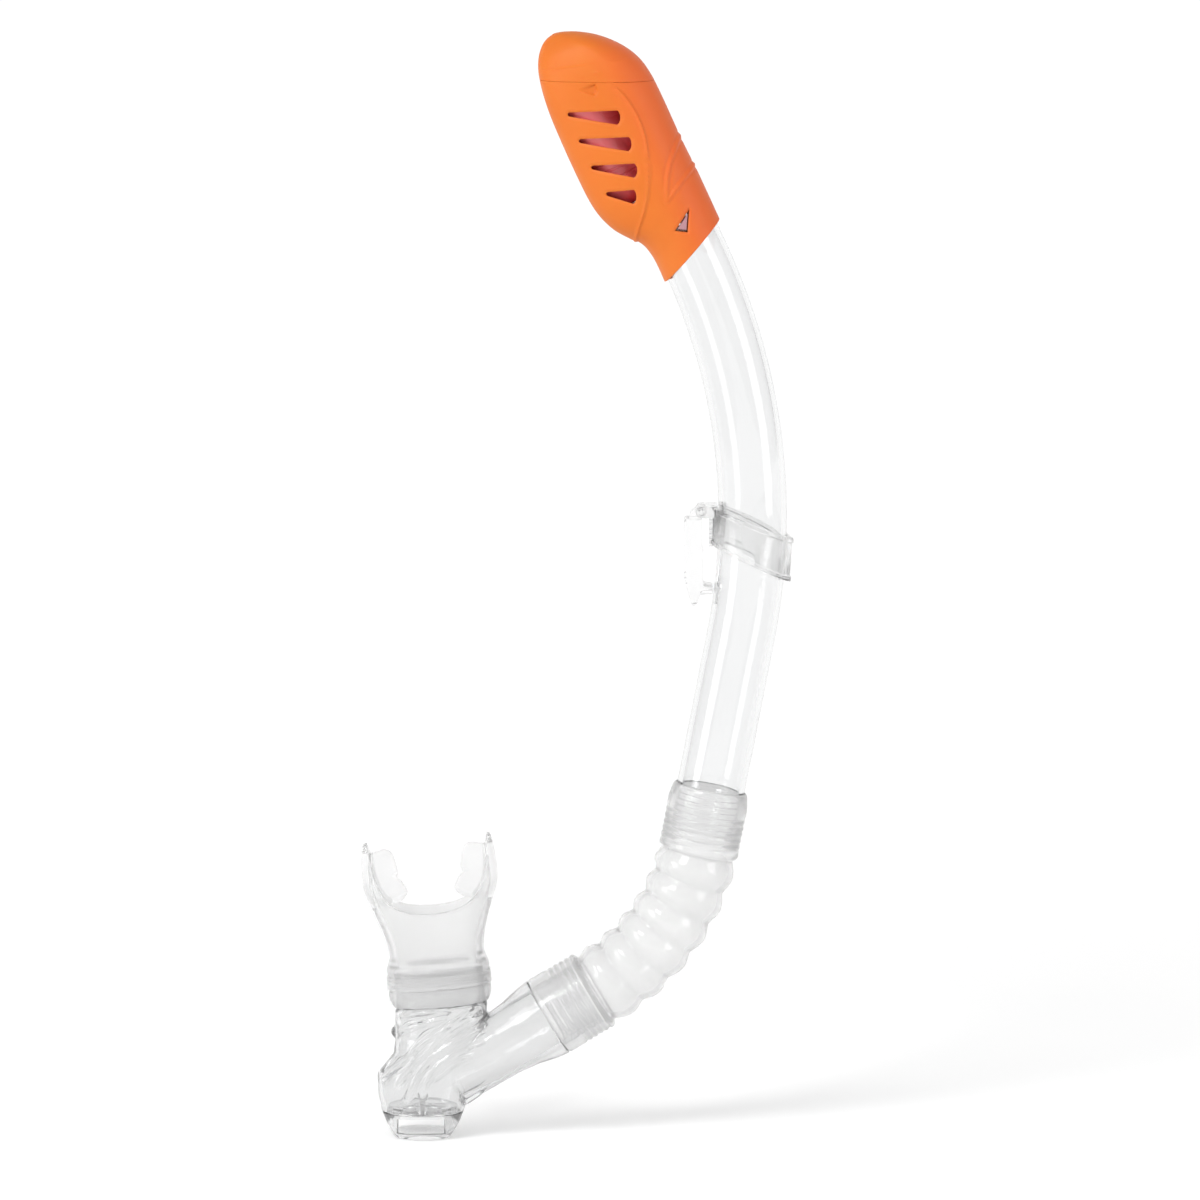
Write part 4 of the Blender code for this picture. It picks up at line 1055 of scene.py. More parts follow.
@dataclass
class StrapKeeper:
    """Clear sleeve that slides on the tube, and the hinged hook that holds the strap."""

    clearance: float = 0.45
    wall: float = 2.2
    low: float = 1.9
    high: float = 17.0
    shear: float = 0.388
    tube_radius: float = 12.6
    barrel: float = 2.0
    pin: float = 0.95
    pin_gap: float = 0.3
    drill_half: float = 10.0
    ear_in: float = 5.0
    ear_out: float = 8.2
    ear_root: float = 5.2
    teeth: int = 6
    tooth_low: float = 8.4
    tooth_pitch: float = 1.7
    tooth_half: float = 3.6
    neck_half: float = 4.6
    neck: tuple = ((-5.6, 17.5), (-1.0, 17.5), (-0.2, 20.0), (-1.6, 22.3), (-4.4, 20.6))
    grooves: int = 5
    groove_top: float = -1.5
    groove_pitch: float = 1.9
    groove_half: float = 6.2
    half_width: float = 8.0
    segments: int = 96
    outline: tuple = (
        (-0.4, 18.2), (-6.2, 18.2), (-7.0, 17.2), (-7.0, -3.7), (-5.6, -9.0), (-4.1, -13.4),
        (-3.3, -13.7), (-2.3, -13.0), (-1.2, -9.6), (3.5, -9.3), (3.7, -7.0), (0.4, -6.4),
        (0.0, -5.9), (0.0, 6.6), (-0.4, 7.0),
    )

    def hinge(self) -> tuple[float, float]:
        """The hook hinge's x and z in millimetres."""
        place = joint_facts("hook_open")["pos_m"]
        return place[0] / MM, place[2] / MM

    def ring(self, z: float, radius: float) -> RingPoint:
        """Ring formula of the sheared sleeve, which follows the tube's arc."""
        centre = joint_facts("keeper_slide")["pos_m"]
        base = math.asin((z * MM - centre[2]) / (LINE.arc_radius * MM))

        def point(angle: float) -> Vector:
            """Point of the ring at an angle."""
            out = radius * math.cos(angle)
            turn = base - self.shear * out / LINE.arc_radius
            return LINE.arc_point(math.degrees(turn), out) + ALONG_Y * radius * math.sin(angle) * MM

        return point

    def sleeve(self, finishes: Finishes) -> None:
        """Make the sleeve with its two ears and raised rims."""
        inner = self.tube_radius + self.clearance
        outer = inner + self.wall
        rims = [
            (self.low, outer - 0.5), (self.low + 0.15, outer - 0.1), (self.low + 0.5, outer),
            (self.low + 1.5, outer), (self.low + 1.8, outer - 0.45),
        ]
        top = [(self.high - (z - self.low), radius) for z, radius in reversed(rims)]
        middle = [(z, outer - 0.5) for z in spread(self.low + 2.4, self.high - 2.4, 8)]
        inside = [(self.high, inner + 0.25), (self.high - 0.3, inner)]
        inside += [(self.low + 0.3, inner), (self.low, inner + 0.25)]
        rings = [self.ring(z, radius) for z, radius in rims + middle + top + inside]
        ring = finished("keeper_sleeve", sweep(rings, self.segments, closed=True), 40)
        x, z = self.hinge()
        for side in (-1, 1):
            outline = [(self.ear_root, z - self.barrel), (self.ear_root, z + self.barrel)]
            for k in range(13):
                angle = math.radians(90 + 15 * k)
                outline.append((x + self.barrel * math.cos(angle), z + self.barrel * math.sin(angle)))
            ear = prism(side_view(outline), *sorted((side * self.ear_in, side * self.ear_out)))
            soften(ear, 0.25, 2, 60)
            combine(ring, ear, "UNION")
        for k in range(self.teeth):
            at = self.tooth_low + self.tooth_pitch * k
            outline = [(2.2, at - 0.6), (2.2, at + 0.6), (3.6, at + 0.45), (3.6, at - 0.45)]
            combine(ring, prism(side_view(outline), -self.tooth_half, self.tooth_half), "UNION")
        combine(ring, self.pin_shape(self.drill_half, self.pin + self.pin_gap), "DIFFERENCE")
        crisp(ring.data, 40)
        settle(ring, finishes.hazy, ["keeper_ring"], Body.KEEPER)

    def pin_shape(self, half: float, radius: float) -> bmesh.types.BMesh:
        """Round bar on the hook's hinge, half its length to each side."""
        x, z = self.hinge()
        bm = bmesh.new()
        place = Matrix.Translation(Vector((x, 0, z)) * MM) @ Matrix.Rotation(math.pi / 2, 4, "X")
        bmesh.ops.create_cone(
            bm, cap_ends=True, segments=32, radius1=radius * MM, radius2=radius * MM,
            depth=2 * half * MM, matrix=place,
        )
        return bm

    def hook(self, finishes: Finishes) -> None:
        """Make the hook: tongue, toe and hinge barrel, with a ribbed back."""
        tongue = prism(side_view(self.outline), -self.half_width, self.half_width)
        soften(tongue, 0.4, 3, 30)
        hook = finished("strap_hook", tongue, 40)
        combine(hook, self.pin_shape(self.neck_half, self.barrel), "UNION")
        combine(hook, prism(side_view(self.neck), -self.neck_half, self.neck_half), "UNION")
        for k in range(self.grooves):
            at = self.groove_top - self.groove_pitch * k
            floor = -6.2 + 0.18 * k
            groove = ((-7.6, at - 0.35), (-7.6, at + 0.35), (floor, at + 0.1), (floor, at - 0.1))
            combine(hook, prism(side_view(groove), -self.groove_half, self.groove_half), "DIFFERENCE")
        combine(hook, self.pin_shape(self.drill_half, self.pin + self.pin_gap), "DIFFERENCE")
        crisp(hook.data, 40)
        settle(hook, finishes.hazy, ["keeper_hook"], Body.HOOK)

    def build(self, finishes: Finishes) -> None:
        """Make sleeve, hook and pin."""
        self.sleeve(finishes)
        self.hook(finishes)
        bar = self.pin_shape(self.ear_out, self.pin)
        soften(bar, 0.2, 2, 60)
        settle(finished("hook_pin", bar, 40), finishes.hazy, ["keeper_pin"], Body.KEEPER)


# ---------------------------------------------------------------- hose

@dataclass
class FlexHose:
    """Milky silicone hose: a cuff at each end and rounded convolutions round its bend."""

    peak: float = 15.0
    root: float = 13.2
    wall: float = 1.5
    upper_cuff: float = 14.8
    lower_cuff: float = 15.4
    cuff_bore: float = 12.9
    overlap: float = 20.0
    spigot: float = 17.0
    ripple_pitch: float = 2.3
    ripple_depth: float = 0.28
    upper_ripples_from: float = 8.2
    upper_ripple_count: int = 6
    lower_ripples: float = 1.7
    lower_ripple_count: int = 5
    convolutions: int = 6
    segments: int = 96

    def span(self) -> tuple[float, float]:
        """Where the convolutions start and end."""
        bend = math.radians(LINE.bend_degrees) * LINE.bend_radius
        return LINE.hose_straight + 3.0, LINE.hose_straight + 1.0 + bend

    def wave(self, distance: float) -> float:
        """Outer radius of the convolutions at a distance: wide soft crowns, narrow roots."""
        start, end = self.span()
        turn = 2 * math.pi * self.convolutions * (distance - start) / (end - start)
        crown = (0.5 - 0.5 * math.cos(turn)) ** 0.62
        return self.root + (self.peak - self.root) * crown

    def ripple(self, distance: float, count: int) -> float:
        """Depth of the fine rings round a cuff at a distance from the first of them."""
        if not 0 < distance < count * self.ripple_pitch:
            return 0.0
        return self.ripple_depth * (0.5 - 0.5 * math.cos(2 * math.pi * distance / self.ripple_pitch))

    def build(self, finishes: Finishes) -> None:
        """Make the hose along its bend, tied to no body and baked in place."""
        start, end = self.span()
        total = LINE.hose_length()
        high, low = self.upper_cuff, self.lower_cuff
        outer = [(0.0, 13.1), (0.35, 13.6), (1.0, 13.95), (3.0, 14.35), (5.2, high - 0.05), (5.8, high)]
        first = self.upper_ripples_from
        count = self.upper_ripple_count
        outer += [(d, high - self.ripple(d - first, count)) for d in spread(first, start - 1.8, 66)]
        outer += [(start - 1.2, high - 0.15), (start - 0.7, high - 0.6), (start - 0.2, self.root + 0.1)]
        waves = [(d, self.wave(d)) for d in spread(start, end, 22 * self.convolutions)]
        outer += waves
        outer += [(end + 0.5, self.root + 0.1), (end + 1.1, low - 0.7), (end + 1.8, low - 0.1)]
        for d in spread(end + 2.4, total - 0.7, 80):
            depth = self.lower_ripples * self.ripple(d - end - 2.4, self.lower_ripple_count)
            outer.append((d, low - depth))
        outer += [(total - 0.3, low - 0.1), (total, low - 0.45)]
        hose_bore = self.root - self.wall
        inner = [(0.0, self.cuff_bore), (self.overlap + 1.0, self.cuff_bore), (self.overlap + 1.8, hose_bore)]
        inner += [(d, radius - self.wall) for d, radius in waves]
        foot = total - self.spigot - 1.0
        inner += [(foot - 0.6, hose_bore), (foot, self.cuff_bore)]
        inner += [(d, self.cuff_bore) for d in spread(foot + 1.0, total, 6)]
        rings = []
        for distance, radius in outer + inner[::-1]:
            centre, lean = LINE.hose_station(distance)
            rings.append(oval(centre, tilt_across(lean), radius, radius))
        hose = finished("corrugated_hose", sweep(rings, self.segments, closed=True), 60)
        settle(hose, finishes.milky, ["flex_hose"], None)
        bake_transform(hose)


# ---------------------------------------------------------------- elbow and purge

@dataclass
class PurgeElbow:
    """Clear elbow: hose spigot, mouthpiece spout, purge bowl and flowing ribs."""

    wall: float = 2.0
    spigot_radius: float = 12.6
    spigot_length: float = 17.0
    lean: float = 5.0
    level_below: float = -181.0
    lean_above: float = -162.7
    barrel: tuple = ((0.3, 15.4), (5.0, 14.9), (12.0, 13.3), (20.0, 12.4), (30.0, 12.2), (46.0, 12.0))
    bowl: tuple = (
        (-149.0, -114.1, -81.3, 11.0), (-162.8, -112.9, -80.1, 11.0), (-163.3, -113.8, -79.4, 12.0),
        (-174.0, -113.6, -80.0, 12.4), (-181.0, -114.2, -81.5, 13.0), (-185.0, -117.3, -83.5, 13.6),
        (-188.5, -120.2, -84.8, 14.0), (-196.0, -120.0, -86.0, 14.0), (-202.4, -118.6, -88.2, 13.6),
    )
    cover: tuple = (
        (-202.8, -118.4, -88.4, 13.5), (-207.0, -116.8, -90.0, 12.6), (-210.5, -114.6, -92.2, 11.4),
        (-212.0, -113.4, -93.2, 10.6),
    )
    cover_wall: float = 1.6
    cover_floor: float = -210.4
    window_x: tuple = (-112.4, -95.4)
    window_z: tuple = (-209.9, -204.2)
    squareness: float = 2.3
    rib_barrel: float = 12.2
    rib_sink: float = 0.15
    voxel: float = 0.48
    melt_rounds: int = 2
    seat_levels: tuple = (-202.2, -199.8)
    port_radii: tuple = (3.2, 8.6)
    spoke_gap: float = 9.0
    valve_x: float = -103.6
    knob: tuple = (-112.7, -173.0, 2.5)
    valve_radius: float = 9.6
    stem: float = 0.9
    ribs: tuple = (
        (((-84.0, -163.4), (-91.3, -168.2), (-96.4, -171.4), (-101.4, -174.5), (-106.5, -178.5)), 1.7),
        (((-81.5, -165.5), (-88.8, -168.4), (-97.0, -174.3), (-105.2, -183.0), (-112.6, -191.5)), 1.9),
        (((-80.0, -169.6), (-91.3, -175.2), (-100.2, -181.5), (-105.9, -188.5), (-109.4, -197.0)), 2.0),
        (((-80.5, -175.4), (-92.6, -180.4), (-98.8, -185.2), (-102.1, -189.9), (-103.3, -195.5)), 1.8),
        (((-84.5, -180.4), (-91.3, -182.8), (-95.7, -185.9), (-98.9, -189.2)), 1.4),
        (((-95.0, -166.6), (-101.5, -168.2), (-108.0, -170.2), (-113.2, -173.2)), 1.3),
        (((-97.5, -163.8), (-104.5, -164.6), (-112.0, -166.6)), 1.1),
        (((-105.5, -179.2), (-111.5, -184.4), (-118.2, -189.6)), 1.6),
    )
    fillet: tuple = (
        (-90.0, -199.5), (-87.2, -199.8), (-82.4, -196.6), (-76.0, -190.0), (-84.0, -186.0), (-91.0, -194.0),
    )
    fillet_half: float = 7.0
    barbs: int = 5
    barb_pitch: float = 2.8
    barb_depth: float = 0.7

    def seam(self) -> LocalFrame:
        """Frame at the hose seam, its axis up the hose."""
        centre, lean = LINE.hose_station(LINE.hose_length())
        return LocalFrame(centre, lean)

    def level(self, row: Sequence[float], inset: float = 0.0, z: float | None = None) -> RingPoint:
        """Ring formula of spout and bowl from a (height, left, right, half depth) row."""
        height, left, right, deep = row
        centre = Vector(((left + right) / 2, 0, height if z is None else z)) * MM
        share = min(max((height - self.level_below) / (self.lean_above - self.level_below), 0), 1)
        across = tilt_across(self.lean * share)
        return oval(centre, across, (right - left) / 2 - inset, deep - inset, self.squareness)

    def flow_rib(self, path: Sequence[tuple[float, float]], radius: float) -> bmesh.types.BMesh:
        """A rounded rib laid on the front surface along (x, z) points; the caller mirrors it for the back."""
        curve = [SmoothCurve(tuple((k, p[j]) for k, p in enumerate(path))) for j in (0, 1)]
        rings = []
        steps = spread(0, len(path) - 1, 8 * (len(path) - 1) + 1)
        places = [Vector((curve[0].at(u), 0, curve[1].at(u))) for u in steps]
        places = [p + ALONG_Y * -self.surface_depth(p.x, p.z) for p in places]
        for k, place in enumerate(places):
            along = places[min(k + 1, len(places) - 1)] - places[max(k - 1, 0)]
            side = along.cross(ALONG_Y).normalized()
            other = side.cross(along).normalized()
            size = radius * (0.45 + 0.55 * math.sin(math.pi * (k + 0.5) / len(places)))

            def point(angle: float, place=place, side=side, other=other, size=size) -> Vector:
                """Point of the rib's round section."""
                return (place + side * size * math.cos(angle) + other * size * math.sin(angle)) * MM

            rings.append(point)
        return sweep(rings, 12)

    def surface_depth(self, x: float, z: float) -> float:
        """How far in front of the middle plane the spout and bowl's surface is at a point."""
        rows = self.bowl[2:]
        shapes = [SmoothCurve(tuple((row[0], row[j]) for row in rows[::-1])) for j in (1, 2, 3)]
        left, right, deep = (shape.at(z) for shape in shapes)
        share = min(abs(x - (left + right) / 2) / ((right - left) / 2), 0.98)
        front = deep * (1 - share**self.squareness) ** (1 / self.squareness)
        seam = self.seam()
        up, across, _ = seam.read(Vector((x, 0, z)) * MM)
        reach = self.rib_barrel**2 - across**2
        barrel = math.sqrt(reach) if reach > 0 and up < 0 else 0.0
        return max(front, barrel) - self.rib_sink

    def shell(self, finishes: Finishes) -> None:
        """Make the elbow in one piece with soft inner corners."""
        parts = [sweep([self.level(row) for row in self.bowl], 72)]
        seam = self.seam()
        profile = [(self.spigot_length, 0.0), (self.spigot_length, self.spigot_radius - 0.5)]
        for k in range(self.barbs):
            at = self.spigot_length - 1.6 - self.barb_pitch * k
            profile.append((at + 0.9, self.spigot_radius - self.barb_depth))
            profile += [(at, self.spigot_radius), (at - 0.9, self.spigot_radius)]
        profile.append((-0.3, self.spigot_radius))
        profile += [(-d, radius) for d, radius in self.barrel] + [(-46.0, 0.0)]
        parts.append(turned(seam, profile, 72))
        for path, size in self.ribs:
            front = self.flow_rib(path, size)
            back = front.copy()
            bmesh.ops.scale(back, verts=back.verts, vec=(1, -1, 1))
            bmesh.ops.reverse_faces(back, faces=back.faces)
            parts += [front, back]
        web = prism(side_view(self.fillet), -self.fillet_half, self.fillet_half)
        soften(web, 1.6, 3, 20)
        x, z, radius = self.knob
        ball = bmesh.new()
        place = Matrix.Translation(Vector((x, 0, z)) * MM)
        bmesh.ops.create_uvsphere(ball, u_segments=24, v_segments=16, radius=radius * MM, matrix=place)
        elbow = finished("purge_elbow", joined([*parts, web, ball]))
        melt(elbow, self.voxel, self.melt_rounds)
        rows = self.bowl
        inside = [self.level(rows[0], self.wall, rows[0][0] + 2)]
        inside += [self.level(row, self.wall) for row in rows]
        inside.append(self.level(rows[-1], self.wall, rows[-1][0] - 2))
        combine(elbow, sweep(inside, 72), "DIFFERENCE")
        bore = self.spigot_radius - self.wall
        end = self.spigot_length + 2
        profile = [(end, 0.0), (end, bore), (-28, bore), (-42, bore - 1.2), (-42, 0.0)]
        combine(elbow, turned(seam, profile, 64), "DIFFERENCE")
        crisp(elbow.data, 50)
        settle(elbow, finishes.cast, ["elbow"], Body.ELBOW)

    def cover_piece(self, finishes: Finishes) -> None:
        """Make the vented cover under the bowl."""
        rows = self.cover
        body = finished("vent_cover", sweep([self.level(row) for row in rows], 96))
        inside = [self.level(rows[0], self.cover_wall, rows[0][0] + 1)]
        inside += [self.level(row, self.cover_wall) for row in rows[:2]]
        inside.append(self.level(rows[2], self.cover_wall, self.cover_floor))
        combine(body, sweep(inside, 96), "DIFFERENCE")
        (x_low, x_high), (z_low, z_high) = self.window_x, self.window_z
        corners = ((x_low, z_low), (x_high, z_low), (x_high, z_high), (x_low, z_high))
        combine(body, prism(side_view(corners), -20, 20), "DIFFERENCE")
        bm = bmesh.new()
        bm.from_mesh(body.data)
        soften(bm, 0.22, 2, 30)
        bm.to_mesh(body.data)
        bm.free()
        crisp(body.data, 40)
        settle(body, finishes.cast, ["purge_cover"], Body.ELBOW)

    def seat(self, finishes: Finishes) -> None:
        """Make the spoked plate the valve closes on."""
        low, high = self.seat_levels
        rim = [self.level(self.bowl[-1], self.wall + 0.3, z) for z in (low, high)]
        plate = finished("purge_seat_plate", sweep(rim, 96))
        inner, outer = self.port_radii
        for quarter in range(4):
            turn = 90 * quarter + self.spoke_gap
            angles = [math.radians(turn + a) for a in spread(0, 90 - 2 * self.spoke_gap, 13)]
            corners = [(outer, a) for a in angles] + [(inner, a) for a in angles[::-1]]
            place = [Vector((self.valve_x + r * math.cos(a), r * math.sin(a), 0)) * MM for r, a in corners]
            bm = bmesh.new()
            face = bm.faces.new([bm.verts.new(p + Vector((0, 0, (low - 1) * MM))) for p in place])
            grown = bmesh.ops.extrude_face_region(bm, geom=[face])["geom"]
            top = [item for item in grown if isinstance(item, bmesh.types.BMVert)]
            bmesh.ops.translate(bm, verts=top, vec=Vector((0, 0, (high - low + 2) * MM)))
            bmesh.ops.recalc_face_normals(bm, faces=bm.faces)
            combine(plate, bm, "DIFFERENCE")
        axis = LocalFrame(Vector((self.valve_x, 0, 0)) * MM, 0.0)
        hole = ((low - 1, 0.0), (low - 1, self.stem + 0.3), (high + 1, self.stem + 0.3), (high + 1, 0.0))
        combine(plate, turned(axis, hole, 32), "DIFFERENCE")
        crisp(plate.data, 35)
        settle(plate, finishes.clear, ["purge_seat"], Body.ELBOW)

    def valve(self, finishes: Finishes) -> None:
        """Make the mushroom valve: thin flap under the seat, stem through it, barb above."""
        low, high = self.seat_levels
        top = low - 0.3
        profile = (
            (top - 0.5, 0.0), (top - 0.5, 0.5), (top - 0.9, 4.0), (top - 0.85, self.valve_radius - 0.7),
            (top - 0.7, self.valve_radius - 0.1), (top - 0.35, self.valve_radius),
            (top, self.valve_radius - 0.1), (top - 0.1, self.stem + 0.2), (top, self.stem),
            (high + 1.8, self.stem), (high + 2.0, 1.5),
            (high + 2.8, 1.45), (high + 3.7, 0.8), (high + 3.8, 0.6), (high + 3.8, 0.0),
        )
        axis = LocalFrame(Vector((self.valve_x, 0, 0)) * MM, 0.0)
        flap = finished("purge_flap_valve", turned(axis, profile, 72), 35)
        settle(flap, finishes.soft_clear, ["purge_valve"], Body.FLAP)

    def build(self, finishes: Finishes) -> None:
        """Make elbow, seat, valve and cover."""
        self.shell(finishes)
        self.seat(finishes)
        self.valve(finishes)
        self.cover_piece(finishes)


# ---------------------------------------------------------------- mouthpiece

@dataclass
class Mouthpiece:
    """Soft clear mouthpiece: sleeve, flared neck, U-cut shield and two bite tabs."""

    base: tuple = (-96.5, -162.7)
    lean: float = 5.0
    sleeve: tuple = (19.0, 13.5)
    sleeve_bore: tuple = (16.8, 11.4)
    sleeve_top: float = 14.5
    squareness: float = 2.3
    head_half: float = 3.0
    band: tuple = (7.0, 12.0)
    groove: float = 0.8
    gap: float = 0.3
    outer: tuple = (
        (19.0, 17.4, 12.3), (27.0, 18.7, 12.4), (36.5, 21.9, 12.8), (43.5, 24.6, 13.4),
        (48.5, 25.1, 13.6), (57.0, 24.5, 13.4), (62.0, 23.6, 13.0),
    )
    inner: tuple = (
        (16.0, 14.8, 9.4), (23.0, 15.2, 9.6), (30.0, 17.1, 10.2), (36.5, 19.5, 10.8),
        (43.5, 22.0, 11.3), (48.5, 22.5, 11.4), (57.0, 22.1, 11.3), (63.5, 21.3, 11.0),
    )
    u_cut: tuple = (
        (0, 35.4), (8, 36.3), (14, 38.8), (17.5, 42.5), (19.9, 48.5), (21.3, 56.0), (22.3, 66.0),
    )
    tabs: tuple = (
        ((23.6, 57.6), (15.2, 59.4), (12.9, 57.6), (11.3, 49.3), (15.5, 47.0), (23.8, 45.0)),
        ((23.6, 50.0), (11.9, 48.4), (10.2, 46.4), (8.3, 42.6), (11.0, 39.6), (18.0, 37.8), (23.0, 42.0)),
    )
    tab_half: float = 2.9
    voxel: float = 0.55
    melt_rounds: int = 6

    def place(self) -> LocalFrame:
        """The mouthpiece's frame, its origin in the middle of the sleeve's lower edge."""
        return LocalFrame(Vector((self.base[0], 0, self.base[1])) * MM, self.lean)

    def ring(self, up: float, wide: float, deep: float, power: float = 2.4) -> RingPoint:
        """Ring formula across the mouthpiece's axis."""
        return oval(self.place().at(up, 0), tilt_across(self.lean), wide, deep, power)

    def smooth_rows(self, rows: Sequence[Sequence[float]], count: int) -> list[RingPoint]:
        """Rings of the smooth shape through (height, half width, half depth) rows."""
        wide = SmoothCurve(tuple((row[0], row[1]) for row in rows))
        deep = SmoothCurve(tuple((row[0], row[2]) for row in rows))
        return [self.ring(up, wide.at(up), deep.at(up)) for up in spread(rows[0][0], rows[-1][0], count)]

    def body(self, finishes: Finishes) -> None:
        """Make the soft body with its bore, cut and bite tabs."""
        place = self.place()
        wide, deep = self.sleeve
        low, high = self.band
        sunk = (wide - self.groove, deep - self.groove)
        square = self.squareness
        outer = [self.ring(0, wide - 1.6, deep - 1.2, square), self.ring(3.5, wide, deep, square)]
        outer += [self.ring(low - self.gap, wide, deep, square), self.ring(low - self.gap, *sunk, square)]
        outer += [self.ring(high + self.gap, *sunk, square), self.ring(high + self.gap, wide, deep, square)]
        outer += [self.ring(self.sleeve_top, wide, deep, square)] + self.smooth_rows(self.outer, 30)
        piece = finished("soft_mouthpiece", sweep(outer, 96))
        bore = [self.ring(up, *self.sleeve_bore, square) for up in (-2, 0, 14.3)]
        combine(piece, sweep(bore + self.smooth_rows(self.inner, 30), 96), "DIFFERENCE")
        smooth = SmoothCurve(self.u_cut)
        half = [(x, smooth.at(x)) for x in spread(0, 22.8, 24)]
        outline = [place.at(up, x) for x, up in half[::-1]] + [place.at(up, -x) for x, up in half[1:]]
        combine(piece, prism(outline, -20, 20), "DIFFERENCE")
        shape = bmesh.new()
        shape.from_mesh(piece.data)
        parts = [shape]
        for side in (-1, 1):
            for block in self.tabs:
                parts.append(prism([place.at(up, side * x) for x, up in block], -self.tab_half, self.tab_half))
                soften(parts[-1], 1.3, 4, 20)
        whole = joined(parts)
        whole.to_mesh(piece.data)
        whole.free()
        melt(piece, self.voxel, self.melt_rounds)
        settle(piece, finishes.soft_clear, ["mouthpiece"], Body.ELBOW)

    def tie(self, finishes: Finishes) -> None:
        """Make the band in the sleeve's groove, with its head at the back."""
        place = self.place()
        low, high = self.band
        inside = (self.sleeve[0] - self.groove + self.gap, self.sleeve[1] - self.groove + self.gap)
        outside = (self.sleeve[0] + 0.3, self.sleeve[1] + 0.3)
        soft = (outside[0] - 0.3, outside[1] - 0.3)
        order = [(soft, low), (outside, low + 0.3)]
        for up in (low + 1.6, low + 2.9, low + 4.0):
            order += [(outside, up - 0.4), (soft, up - 0.15), (soft, up + 0.15), (outside, up + 0.4)]
        order += [(outside, high - 0.3), (soft, high), (inside, high), (inside, low)]
        rings = [self.ring(up, *size, self.squareness) for size, up in order]
        band = finished("mouthpiece_band", sweep(rings, 128, closed=True), 40)
        bottom, top, half = low - 0.6, high + 0.6, self.head_half
        head = [place.at(up, x) for up, x in ((bottom, -half), (bottom, half), (top, half), (top, -half))]
        block = prism(head, self.sleeve[1] + 0.05, self.sleeve[1] + 3.0)
        soften(block, 0.4, 3, 40)
        combine(band, block, "UNION")
        crisp(band.data, 40)
        settle(band, finishes.milky, ["mouthpiece_tie"], Body.ELBOW)

    def build(self, finishes: Finishes) -> None:
        """Make the mouthpiece and its tie."""
        self.body(finishes)
        self.tie(finishes)


# ---------------------------------------------------------------- studio

@dataclass(frozen=True)
class Softbox:
    """A soft area light aimed at the object: bearing from the front, height, distance, size and radiance."""

    name: str
    bearing: float
    height: float
    distance: float
    size: tuple[float, float]
    radiance: float

    def place(self, target: Vector) -> None:
        """Put the light in the scene.

        Args:
            target: the point it is aimed at.
        """
        data = bpy.data.lights.new(self.name, "AREA")
        data.shape = "RECTANGLE"
        data.size, data.size_y = self.size
        data.energy = self.radiance * math.pi * self.size[0] * self.size[1]
        lamp = bpy.data.objects.new(self.name, data)
        turn = math.radians(self.bearing)
        lamp.location = Vector((math.sin(turn), -math.cos(turn), 0)) * self.distance
        lamp.location.z = self.height
        lamp.rotation_mode = "QUATERNION"
        lamp.rotation_quaternion = (target - lamp.location).to_track_quat("-Z", "Y")
        lamp.visible_camera = False
        bpy.context.scene.collection.objects.link(lamp)


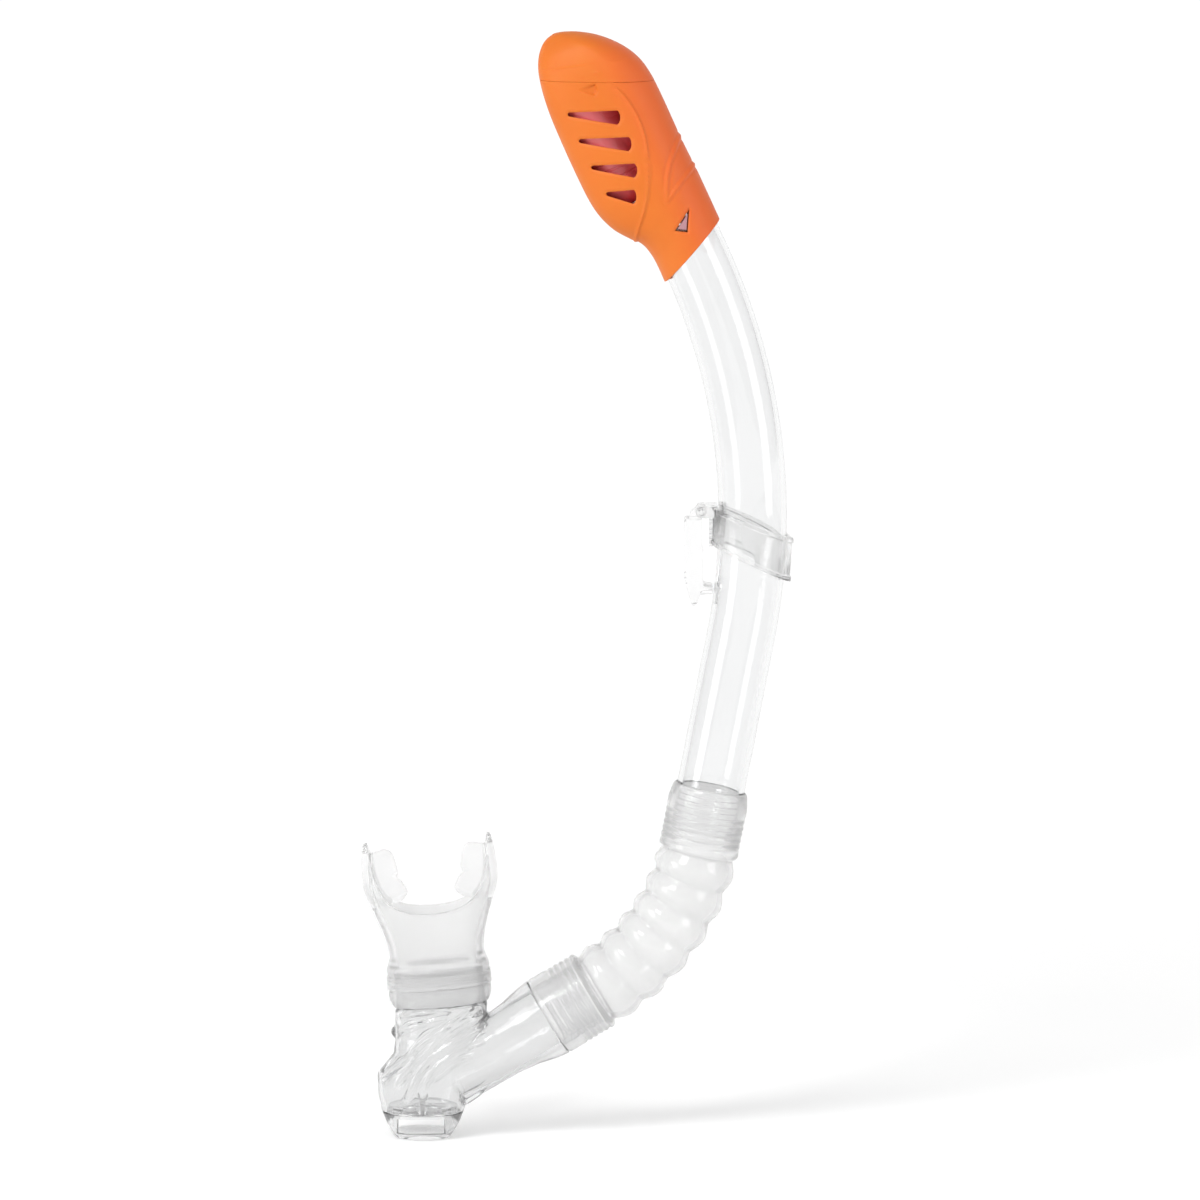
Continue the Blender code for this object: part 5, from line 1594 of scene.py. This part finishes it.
@dataclass
class Studio:
    """Plain pale floor, soft lights and the camera."""

    floor_z: float = -212.3
    floor_half: float = 12.0
    floor_front: float = -9.0
    floor_deep: float = 18.0
    curl_step: float = 0.3
    backdrop_height: float = 6.0
    target: tuple = (-37.9, 0.0, -12.4)
    distance: float = 4.0
    elevation: float = 7.0
    frame_width: float = 0.4415
    near_white: float = 0.74
    near_glow: float = 0.33
    far_glow: float = 1.04
    glow_from: float = 0.15
    glow_to: float = 0.95
    surroundings: float = 0.52
    lights: tuple = (
        Softbox("key", -32, 1.3, 1.5, (0.7, 0.7), 12.5),
        Softbox("left_strip", -60, 0.42, 1.9, (0.75, 1.25), 4.2),
        Softbox("right_strip", 60, 0.42, 1.9, (0.75, 1.25), 3.8),
    )

    def floor(self) -> None:
        """Pale seamless floor that rises far behind the object and glows softly there."""
        bm = bmesh.new()
        start = bm.verts.new(Vector((-self.floor_half, self.floor_front, self.floor_z * MM)))
        stop = bm.verts.new(Vector((self.floor_half, self.floor_front, self.floor_z * MM)))
        edge = bm.edges.new((start, stop))
        bend = [(0, math.cos(a) * self.curl_step, math.sin(a) * self.curl_step) for a in spread(0.1, 1.5, 10)]
        for step in [(0, self.floor_deep, 0)] + bend + [(0, 0, self.backdrop_height)]:
            grown = bmesh.ops.extrude_edge_only(bm, edges=[edge])["geom"]
            verts = [g for g in grown if isinstance(g, bmesh.types.BMVert)]
            bmesh.ops.translate(bm, verts=verts, vec=Vector(step))
            edge = bm.edges.get(verts)
        obj = finished("floor", bm, 80)
        material = bpy.data.materials.new("pale_floor")
        material.use_nodes = True
        nodes, links = material.node_tree.nodes, material.node_tree.links
        shader = nodes["Principled BSDF"]
        shader.inputs["Roughness"].default_value = 0.9
        shader.inputs["Specular IOR Level"].default_value = 0.0
        shader.inputs["Emission Strength"].default_value = 1.0
        kinds = ("TexCoord", "VectorMath", "MapRange")
        place, reach, far = (nodes.new("ShaderNode" + kind) for kind in kinds)
        reach.operation = "LENGTH"
        far.interpolation_type = "SMOOTHSTEP"
        far.inputs["From Min"].default_value = self.glow_from
        far.inputs["From Max"].default_value = self.glow_to
        links.new(place.outputs["Object"], reach.inputs[0])
        links.new(reach.outputs["Value"], far.inputs["Value"])
        for socket, near_value, far_value in (
            ("Base Color", self.near_white, 0.0), ("Emission Color", self.near_glow, self.far_glow),
        ):
            shade = nodes.new("ShaderNodeMix")
            shade.data_type = "RGBA"
            shade.inputs["A"].default_value = (near_value, near_value, near_value, 1)
            shade.inputs["B"].default_value = (far_value, far_value, far_value, 1)
            links.new(far.outputs["Result"], shade.inputs["Factor"])
            links.new(shade.outputs["Result"], shader.inputs[socket])
        dress(obj, material)

    def sky(self) -> None:
        """Soft even surroundings, darker than the floor."""
        world = bpy.data.worlds.new("studio")
        world.use_nodes = True
        back = world.node_tree.nodes["Background"]
        back.inputs["Color"].default_value = (1.0, 1.0, 1.0, 1)
        back.inputs["Strength"].default_value = self.surroundings
        bpy.context.scene.world = world

    def camera(self) -> None:
        """Camera at the object's front, a little above it."""
        data = bpy.data.cameras.new("camera")
        data.sensor_width = 36.0
        data.lens = data.sensor_width * self.distance / self.frame_width
        camera = bpy.data.objects.new("camera", data)
        angle = math.radians(self.elevation)
        back = Vector((0, -math.cos(angle), math.sin(angle)))
        camera.location = Vector(self.target) * MM + back * self.distance
        camera.rotation_mode = "QUATERNION"
        camera.rotation_quaternion = back.to_track_quat("Z", "Y")
        bpy.context.scene.collection.objects.link(camera)
        bpy.context.scene.camera = camera

    def build(self) -> None:
        """Set up floor, lights and camera."""
        self.floor()
        self.sky()
        for light in self.lights:
            light.place(Vector(self.target) * MM)
        self.camera()
        bpy.context.scene.view_settings.view_transform = "Standard"


def main() -> None:
    """Build the studio and every piece in order."""
    Studio().build()
    finishes = Finishes()
    makers = (BreathingTube, DryTopCap, FloatValve, StrapKeeper, FlexHose, PurgeElbow, Mouthpiece)
    for maker in makers:
        maker().build(finishes)


if __name__ == "__main__":
    main()
